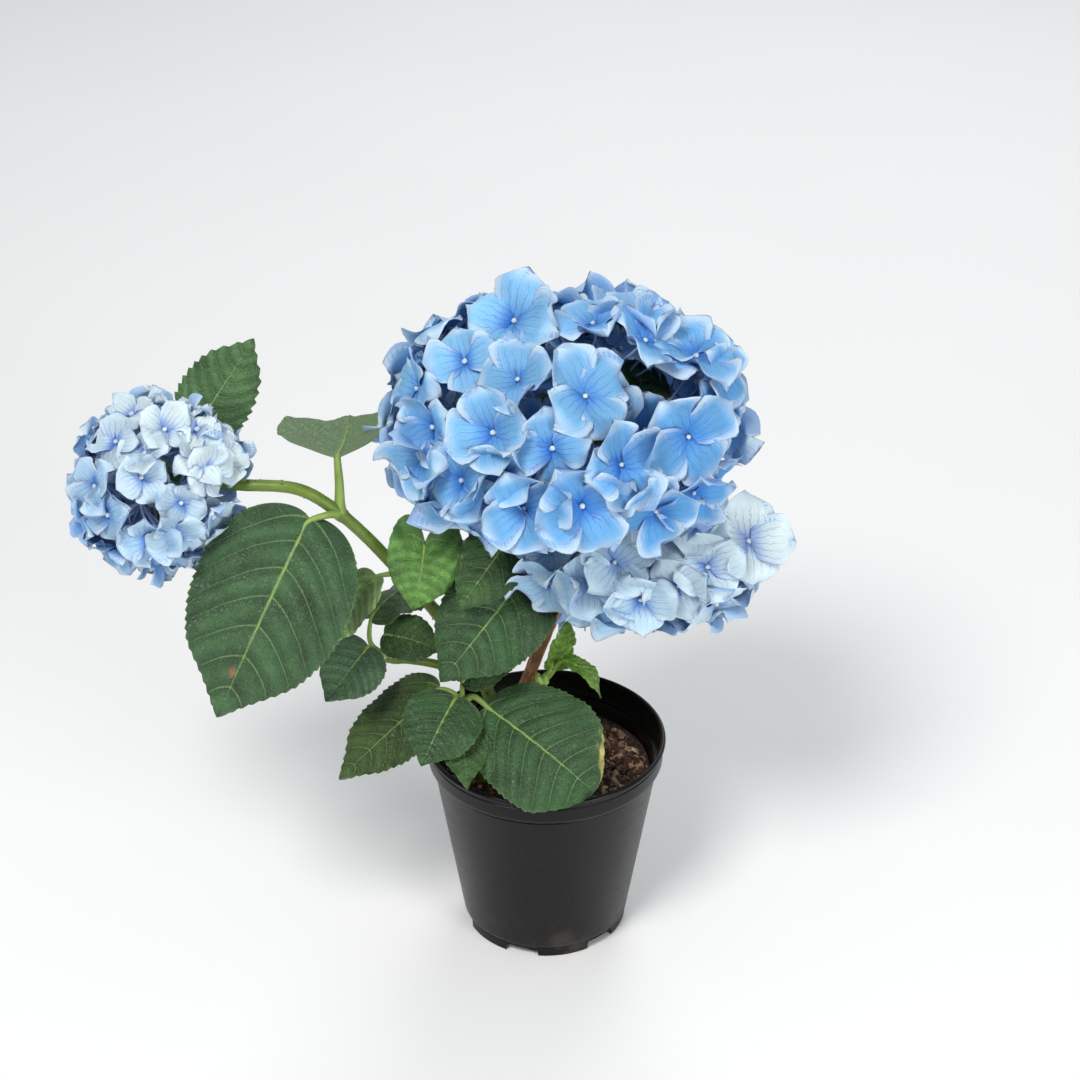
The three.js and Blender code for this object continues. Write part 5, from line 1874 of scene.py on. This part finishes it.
@dataclass
class Bloom:
    """A mophead: rays from a fork, and florets on stalks placed on a dome.

    Args:
        name: its solid's name.
        centre: the middle of its dome.
        radii: the dome's half sizes.
        room: how far left, right, down and up a filling floret may stand in the front view.
        axis: the way that the dome opens.
        reach: how far round from that way florets stand, in degrees.
        count: candidates for the florets that fill the dome.
        floret: their usual size.
        spacing: how near two may stand, as a share of that size.
        rays: rays that leave the fork.
        ray_radius: how thick the rays are at the fork.
        seed: seed of the filling.
        shown: florets seen from the front: across, up, size and turn.
        fork: where the rays part.
        groups: pieces that its sepals are joined into.
        slot: a name handed on with its beads.
        deep: the colour on its deep side.
        pale: the colour on its pale side.
        pale_way: the way from its middle to its pale side.
        open_spots: gaps in the front view: across, up and radius.
        toothed: how strongly its sepals are toothed.
        under: smaller florets inside the dome, which are seen between the outer ones.
        extra: more florets like the shown ones, which the solid leaves out.
        inner: leaves that stand among its florets.
        stem: the stalk that leads to its fork, where no cane does.
        ray_tint: the colour of its rays.
        stalk_tint: the colour of its florets' stalks.
        leaf_stalk_tint: the colour of its leaves' stalks.
    """

    name: str
    centre: Triple
    radii: Triple
    room: Spot
    axis: Triple
    reach: float
    count: int
    floret: float
    spacing: float
    rays: int
    ray_radius: float
    seed: int
    shown: Sequence[Spot]
    fork: np.ndarray
    groups: int
    slot: str
    deep: Hue
    pale: Hue
    pale_way: Triple
    open_spots: Sequence[Triple] = ()
    toothed: float = 0.0
    under: int = 0
    extra: Sequence[Spot] = ()
    inner: Sequence[Leaf] = ()
    stem: Route | None = None
    ray_tint: Colour = rgb(150, 176, 130)
    stalk_tint: Colour = rgb(158, 180, 222)
    leaf_stalk_tint: Colour = rgb(146, 170, 92)

    def on_dome(self, across: float, up: float) -> np.ndarray:
        """Where a spot of the front view lies on the dome.

        Args:
            across: millimetres to the right of its middle.
            up: millimetres up from its middle.

        Returns:
            The offset from the middle.
        """
        radii = np.asarray(self.radii, float)
        start = (np.array([across, 0, 0]) + VIEW_UP * up) / radii
        step = TO_VIEWER / radii
        a, b, c = step.dot(step), start.dot(step), start.dot(start) - 1
        travel = (-b + math.sqrt(max(0.0, b * b - a * c))) / a
        return (start + step * travel) * radii

    def spiral(self, count: int, first_turn: float) -> Iterator[np.ndarray]:
        """Ways spread evenly over the part of the dome that florets stand on.

        Args:
            count: how many there are.
            first_turn: the turn of the first about the dome's axis.

        Yields:
            Each way, of length one.
        """
        axis = unit(self.axis)
        east, north = across_of(axis)
        lowest = math.cos(math.radians(self.reach))
        for number in range(count):
            cosine = 1 - (number + 0.5) / count * (1 - lowest)
            turn = number * GOLDEN_ANGLE + first_turn
            yield axis * cosine + (east * math.cos(turn) + north * math.sin(turn)) * math.sqrt(1 - cosine**2)

    def places(self) -> list[tuple[np.ndarray, float, float]]:
        """Where its florets stand: the shown ones, then those that fill the dome, then those under them.

        Returns:
            Offset, size and turn of each.
        """
        dice = Dice(self.seed)
        radii = np.asarray(self.radii, float)
        seen = [*self.shown, *self.extra]
        places = [(self.on_dome(across, up), size, spin) for across, up, size, spin in seen]
        for way in self.spiral(self.count, 0.0):
            depth = dice.between(*FLORET_DEPTHS)
            size = self.floret * dice.between(*FLORET_SIZES)
            spin = 90 * dice.roll()
            offset = self.kept_in_room(way * radii * depth)
            nearest = min(np.linalg.norm(other - offset) for other, _, _ in places)
            if nearest >= self.spacing * self.floret and not self.is_open(offset):
                places.append((offset, size, spin))
        for way in self.spiral(self.under, 1.0):
            offset = self.kept_in_room(way * radii * UNDER_DEPTH)
            if not self.is_open(offset):
                places.append((offset, UNDER_SIZE * self.floret, 90 * dice.roll()))
        return places

    def kept_in_room(self, offset: np.ndarray) -> np.ndarray:
        """Draws a place into the rounded outline of the bloom's room in the front view.

        Args:
            offset: the place, from the dome's middle.

        Returns:
            The place that it is drawn to.
        """
        left, right, down, up = self.room
        height = float(offset.dot(VIEW_UP))
        across = abs(offset[0]) / (left if offset[0] < 0 else right)
        along = abs(height) / (down if height < 0 else up)
        kept = 1 / max(1.0, (across**ROOM_SQUARENESS + along**ROOM_SQUARENESS) ** (1 / ROOM_SQUARENESS))
        return (offset + VIEW_UP * height * (kept - 1)) * np.array([kept, 1.0, 1.0])

    def is_open(self, offset: np.ndarray) -> bool:
        """Whether a place lies in one of the gaps that the front view looks into.

        Args:
            offset: the place, from the head's centre.

        Returns:
            Whether it does.
        """
        spot = (offset[0], offset.dot(VIEW_UP))
        seen = any(math.dist(spot, (across, up)) < radius for across, up, radius in self.open_spots)
        return seen and offset.dot(TO_VIEWER) > 0

    def hue_at(self, offset: np.ndarray, dice: Dice) -> Colour:
        """A floret's colour: the paler the more it stands on the pale side, and a little by chance.

        Args:
            offset: its place, from the dome's middle.
            dice: the floret's dice.

        Returns:
            The colour.
        """
        side = float(unit(offset / np.asarray(self.radii)).dot(unit(self.pale_way)))
        share = min(1.0, max(0.0, 0.5 + 0.5 * side + dice.between(-0.42, 0.42)))
        bright = dice.between(0.92, 1.08)
        return tuple(lerp(deep, pale, share) * bright for deep, pale in zip(self.deep.value, self.pale.value))

    def florets(self, keep_off: np.ndarray) -> list[Floret]:
        """The florets, without those whose middle would lie in a leaf.

        Args:
            keep_off: points of the leaves near by.

        Returns:
            The florets.
        """
        dice = Dice(self.seed + 1)
        radii = np.asarray(self.radii, float)
        made = []
        for number, (offset, size, spin) in enumerate(self.places()):
            wobble = np.array([dice.roll() - 0.5 for _ in range(3)]) * WOBBLE
            facing = unit(unit(offset / radii / radii) + wobble)
            centre = np.asarray(self.centre, float) + offset
            if np.linalg.norm(keep_off - centre, axis=1).min() >= 0.3 * size:
                hue = self.hue_at(offset, Dice(self.seed * 31 + number))
                seed = self.seed * 100 + number
                made.append(Floret(centre, facing, size * FLORET_GAIN, spin, hue, seed, self.toothed))
        return made

    def joints(self) -> list[np.ndarray]:
        """The ends of the rays, which the florets' stalks grow from.

        Returns:
            Those in a ring round the middle, and one over it.
        """
        middle, radii = np.asarray(self.centre, float), np.asarray(self.radii, float)
        ends = []
        for number in range(self.rays):
            turn = 2 * math.pi * number / self.rays
            way = unit([math.cos(turn), math.sin(turn), RAY_LEVELS[number % 2]])
            ends.append(middle + way * radii * RAY_SHARE)
        return [*ends, middle + np.array([0, 0, radii[2] * RAY_LEVELS[1]])]

    def ray(self, end: np.ndarray) -> Patch:
        """The ray from the fork to a joint.

        Args:
            end: the joint.

        Returns:
            Its skin.
        """
        route = Route([self.fork, (self.fork + end) / 2 + np.array([0, 0, -2.0]), end])

        def radius_at(distance: np.ndarray, turn: np.ndarray) -> np.ndarray:
            """Tapering, with a knob at the joint."""
            knob = 0.25 * hump(distance - route.length, 2.5)
            return self.ray_radius * (1 - 0.3 * distance / route.length + knob)

        return tube(route, route.length, radius_at, 12, 16, self.ray_tint)

    def stem_radius_at(self, distance: np.ndarray, turn: np.ndarray) -> np.ndarray:
        """The stem's radius at each turn, slightly ribbed and the same all along."""
        return 1.8 + 0.05 * np.sin(5 * turn)

    def stalks(self, florets: Sequence[Floret]) -> list[Patch]:
        """All that carries its florets and leaves.

        Args:
            florets: its florets.

        Returns:
            The skins of the rays, the stalks and the stem.
        """
        ends = self.joints()
        stalks = [self.ray(end) for end in ends]
        for floret in florets:
            nearest = min(ends, key=lambda end: np.linalg.norm(end - floret.centre))
            stalks.append(floret.stalk(nearest, self.stalk_tint))
        stalks += [leaf.petiole(self.fork, self.leaf_stalk_tint) for leaf in self.inner]
        if self.stem:
            stalks.append(tube(self.stem, self.stem.length, self.stem_radius_at, 16, 20, self.ray_tint))
        return stalks

    def build(self, kit: Kit, keep_off: np.ndarray) -> None:
        """Builds the rays and stalks, the sepals in groups round the middle, and the beads.

        Args:
            kit: the finishes.
            keep_off: points of the leaves near by.
        """
        florets = self.florets(keep_off)
        make_piece(f"{self.name}_stalks", self.stalks(florets), kit.stalk, [self.name])
        if self.inner:
            make_piece(f"{self.name}_inner_blades", [leaf.blade() for leaf in self.inner], kit.leaf)
        order = np.argsort([math.atan2(*(floret.centre - self.centre)[[1, 0]]) for floret in florets])
        for number, group in enumerate(np.array_split(order, self.groups), 1):
            sepals = [sepal for index in group for sepal in florets[index].sepals()]
            make_piece(f"{self.name}_sepals_{number}", sepals, kit.sepal)
        self.add_beads(florets, kit)

    def add_beads(self, florets: Sequence[Floret], kit: Kit) -> None:
        """Puts a pale bead in the middle of each floret.

        Args:
            florets: its florets.
            kit: the finishes.
        """
        mesh = bpy.data.meshes.new(f"{self.name}_middles")
        mesh.from_pydata([tuple((f.centre + f.facing * BEAD_RISE) * MM) for f in florets], [], [])
        facing = mesh.attributes.new("facing", "FLOAT_VECTOR", "POINT")
        facing.data.foreach_set("vector", np.array([f.facing for f in florets], np.float32).ravel())
        values = {"Smallest": 0.0024, "Largest": 0.0031, "Flatness": 0.85, "Length": 1.0}
        values |= {"Roughness": 0.25, "Seed": self.seed}
        kit.beads.spread(f"{self.name}_beads", mesh, kit.bead, values, self.slot)


BLOOMS = (
    Bloom(
        name="bloom_main", centre=(11, 0, 305), radii=(88, 74, 66), room=(74, 70, 50, 53),
        axis=(-0.1, -0.1, 1), reach=116, count=84, floret=46, spacing=0.47, rays=7, ray_radius=1.9, seed=7,
        shown=(
            (-26, 48, 50, 10), (7, 10, 46, 20), (24, -22, 46, 5), (57, -8, 48, 30), (-36, -7, 42, 25),
            (-24, 18, 40, 40), (36, 38, 46, 15), (62, 31, 48, 35), (-22, -42, 44, 20), (-58, 47, 44, 30),
            (-73, 16, 38, 15), (-65, -3, 36, 40), (-8, -14, 38, 12), (75, 22, 38, 25), (-51, -29, 38, 35),
            (-70, -18, 38, 8), (6, -41, 50, 28), (42, -43, 42, 16),
        ),
        fork=MAIN.at(MAIN_BLOOM_AT + NEAR_END * MAIN_STALK_LENGTH), groups=8, slot="blue_sepal",
        deep=Hue.DEEP, pale=Hue.SKY, pale_way=(-0.7, -0.3, 0.9),
        open_spots=((34, 16, 17), (-44, 22, 10), (-8, 24, 9)), toothed=0.6, under=30,
        extra=(
            (-31, -23, 34, 50), (-38, -42, 36, 8), (60, -34, 40, 12), (-50, 28, 36, 33), (12, 46, 38, 18),
        ),
        inner=(
            Leaf((40, 8, 284), (52, 30, 334), FRONT, 40, arch=0.06, tone=Tone.DARK, seed=31),
            Leaf((24, 14, 284), (2, 44, 330), FRONT, 34, arch=0.06, tone=Tone.PALE, seed=32),
        ),
    ),
    Bloom(
        name="bloom_lower", centre=(52, -4, 234), radii=(75, 37, 34), room=(56, 42, 34, 30),
        axis=(0.15, -0.75, -0.6), reach=92, count=34, floret=38, spacing=0.45, rays=3, ray_radius=1.4,
        seed=19,
        shown=(
            (50, 5, 44, 0), (29, -8, 36, 20), (-18, -6, 38, 35),
            (-50, 2, 38, 10), (15, -17, 34, 30), (4, 8, 34, 15),
        ),
        fork=LOWER_STALK.at(LOWER_STALK.length * NEAR_END), groups=3, slot="pale_sepal", deep=Hue.SKY,
        pale=Hue.WHITE, pale_way=(1, -0.3, 0.5), toothed=0.5, under=6,
        extra=(
            (-50, -15, 38, 20), (-30, -16, 36, 5), (-4, -24, 36, 15), (34, -26, 34, 35), (-36, 14, 36, 28),
        ),
        stem=LOWER_STALK,
    ),
    Bloom(
        name="bloom_left", centre=(-193, -10, 277), radii=(45, 43, 43), room=(37, 33, 35, 33),
        axis=(-1, -0.1, 0.15), reach=150, count=66, floret=28, spacing=0.52, rays=6, ray_radius=1.5, seed=31,
        shown=(
            (-22, -16, 29, 20), (-3, -28, 29, 8), (-3, 13, 27, 35), (-18, 19, 28, 20), (-5, 2, 26, 28),
            (22, 10, 28, 12), (5, 25, 28, 40), (10, -25, 29, 25), (26, 5, 27, 18),
        ),
        fork=ARM.at(ARM.length * NEAR_END), groups=5, slot="pale_sepal", deep=Hue.BLUE, pale=Hue.WHITE,
        pale_way=(0.7, 0.2, 0.8), toothed=1.0, under=12,
    ),
)


class Kit:
    """The finishes, and the sprinklers that several pieces share, each made once."""

    def __init__(self) -> None:
        """Makes each finish and each sprinkler."""
        effects = Effects()
        loose = (
            MixFinish("potting_mix_crumbs", rgb(82, 60, 48), rgb(188, 146, 116), 0.5, 190.0),
            MixFinish("bark_chips", rgb(92, 62, 45), rgb(226, 192, 156), 0.5, 130.0, 0.85),
            MixFinish("fibres", rgb(128, 84, 60), rgb(222, 186, 150), 0.6, 90.0, 0.85),
            MixFinish("perlite", rgb(214, 208, 196), rgb(240, 238, 232), 0.6, 900.0, 0.8),
            MixFinish("lenticels", rgb(96, 74, 46), rgb(134, 108, 70), 0.5, 900.0, 0.8),
        )
        made = [finish.make(effects) for finish in loose]
        self.crumb, self.chip, self.fibre, self.perlite, self.lenticel = made
        self.mix = MixFinish("potting_mix_ground").make(effects)
        self.plastic = PlasticFinish("black_nursery_plastic").make(effects)
        self.bark = BarkFinish("main_stem_bark").make(effects)
        rind = BarkFinish("green_cane_rind", rgb(100, 124, 44), rgb(126, 142, 66), rgb(74, 60, 34), 0.3, 0.46)
        self.rind = rind.make(effects)
        self.stalk = RindFinish("stalks").make(effects)
        self.leaf = LeafFinish("leaf_blade").make(effects)
        self.sepal = SepalFinish("sepals").make(effects)
        self.bead = BeadFinish("floret_beads").make(effects)
        self.floor = FloorFinish("pale_floor").make(effects)
        self.dots = Sprinkler("lenticel dots", Crumb.LUMP)
        self.beads = Sprinkler("bead on each point", Crumb.LUMP, aligned=True)


@dataclass(frozen=True)
class Sprout:
    """The stem and the pale bud of the young sprout at the main stem's foot."""

    bud_at: Triple = (-2.5, 1.5, 147.0)
    scales: int = 4
    stem_radius: float = 2.5
    scale_radius: float = 2.1
    stem_tint: Colour = rgb(150, 180, 92)
    scale_tint: Colour = rgb(168, 198, 104)

    def stem_radius_at(self, distance: np.ndarray, turn: np.ndarray) -> np.ndarray:
        """The stem's radius, the same all over."""
        return np.full_like(distance, self.stem_radius)

    def scale(self, number: int) -> Patch:
        """One scale of the bud.

        Args:
            number: its place round the bud, and how far up it reaches.

        Returns:
            Its skin.
        """
        turn = 2.1 * number
        lean = np.array([math.cos(turn) * 2.4, math.sin(turn) * 2.4, 2.2 + number])
        foot = np.asarray(self.bud_at)
        route = Route([foot, foot + lean * 0.6, foot + lean * 1.5 + np.array([0, 0, 1.5])])

        def radius_at(distance: np.ndarray, turn: np.ndarray) -> np.ndarray:
            """Full in its middle and pointed at its ends."""
            share = np.clip(distance / route.length, 0.08, 0.98)
            return self.scale_radius * np.sin(share * math.pi) ** 0.6

        return tube(route, route.length, radius_at, 18, 16, self.scale_tint)

    def build(self, kit: Kit) -> None:
        """Builds the stem and the overlapping scales.

        Args:
            kit: the finishes and the sprinklers.
        """
        stem = tube(SPROUT, SPROUT.length, self.stem_radius_at, 20, 14, self.stem_tint)
        scales = [self.scale(number) for number in range(self.scales)]
        make_piece("sprout_bud", [stem, *scales], kit.stalk)


@dataclass(frozen=True)
class Studio:
    """The pale floor, the soft lights, each with its name, place, size, power and colour, and the camera."""

    floor_half: float = 6.0
    lights: Sequence[tuple[str, Triple, float, float, Colour]] = (
        ("key", (-0.7, -1.3, 2.1), 0.8, 35.0, (1.0, 0.985, 0.96)),
        ("fill", (1.5, -1.6, 0.8), 1.2, 21.0, (0.97, 0.99, 1.0)),
        ("back", (0.4, 1.7, 1.7), 1.2, 14.0, (1.0, 1.0, 1.0)),
    )
    sky: Colour = (0.92, 0.95, 1.0)
    sky_strength: float = 0.38

    def build(self, kit: Kit) -> None:
        """Builds the stage, with the camera where the plant is arranged to be seen from.

        Args:
            kit: the finishes and the sprinklers.
        """
        half = self.floor_half
        mesh = bpy.data.meshes.new("floor")
        corners = [(-half, -half, 0), (half, -half, 0), (half, half, 0), (-half, half, 0)]
        mesh.from_pydata(corners, [], [(0, 1, 2, 3)])
        mesh.materials.append(kit.floor)
        linked("floor", mesh)
        target = Vector(VIEW_TARGET) * MM
        for name, place, size, power, colour in self.lights:
            lamp = bpy.data.lights.new(name, "AREA")
            lamp.shape = "DISK"
            lamp.size, lamp.energy, lamp.color = size, power, colour
            self.aim(linked(name, lamp), Vector(place), target)
        lens = bpy.data.cameras.new("view")
        lens.lens = VIEW_LENS
        lens.sensor_width = VIEW_SENSOR
        camera = linked("view", lens)
        self.aim(camera, target + Vector(TO_VIEWER) * VIEW_DISTANCE * MM, target)
        world = bpy.data.worlds.new("soft_room")
        world.use_nodes = True
        sky = world.node_tree.nodes["Background"]
        Wiring(world.node_tree).give(sky, Color=self.sky, Strength=self.sky_strength)
        scene = bpy.context.scene
        scene.camera = camera
        scene.world = world
        scene.view_settings.view_transform = "Standard"

    @staticmethod
    def aim(thing: bpy.types.Object, place: Vector, target: Vector) -> None:
        """Puts a lamp or the camera at a place and turns it to a target."""
        thing.location = place
        thing.rotation_euler = (target - place).to_track_quat("-Z", "Y").to_euler()


def leaf_points(masses: Iterable[LeafMass]) -> np.ndarray:
    """Points spread over all blades, which florets keep off."""
    grid = np.meshgrid(np.linspace(0.05, 0.95, 12), np.linspace(-0.9, 0.9, 9))
    return np.vstack([leaf.spot(*grid).reshape(-1, 3) for mass in masses for leaf in mass.leaves])


def main() -> None:
    """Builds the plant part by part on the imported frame."""
    logging.basicConfig(level=logging.INFO, format="%(name)s: %(message)s")
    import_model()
    kit = Kit()
    for part in (Studio(), Pot(), PottingMix(), *CANES, Sprout(), *MASSES):
        part.build(kit)
    keep_off = leaf_points(MASSES)
    for bloom in BLOOMS:
        bloom.build(kit, keep_off)


if __name__ == "__main__":
    main()
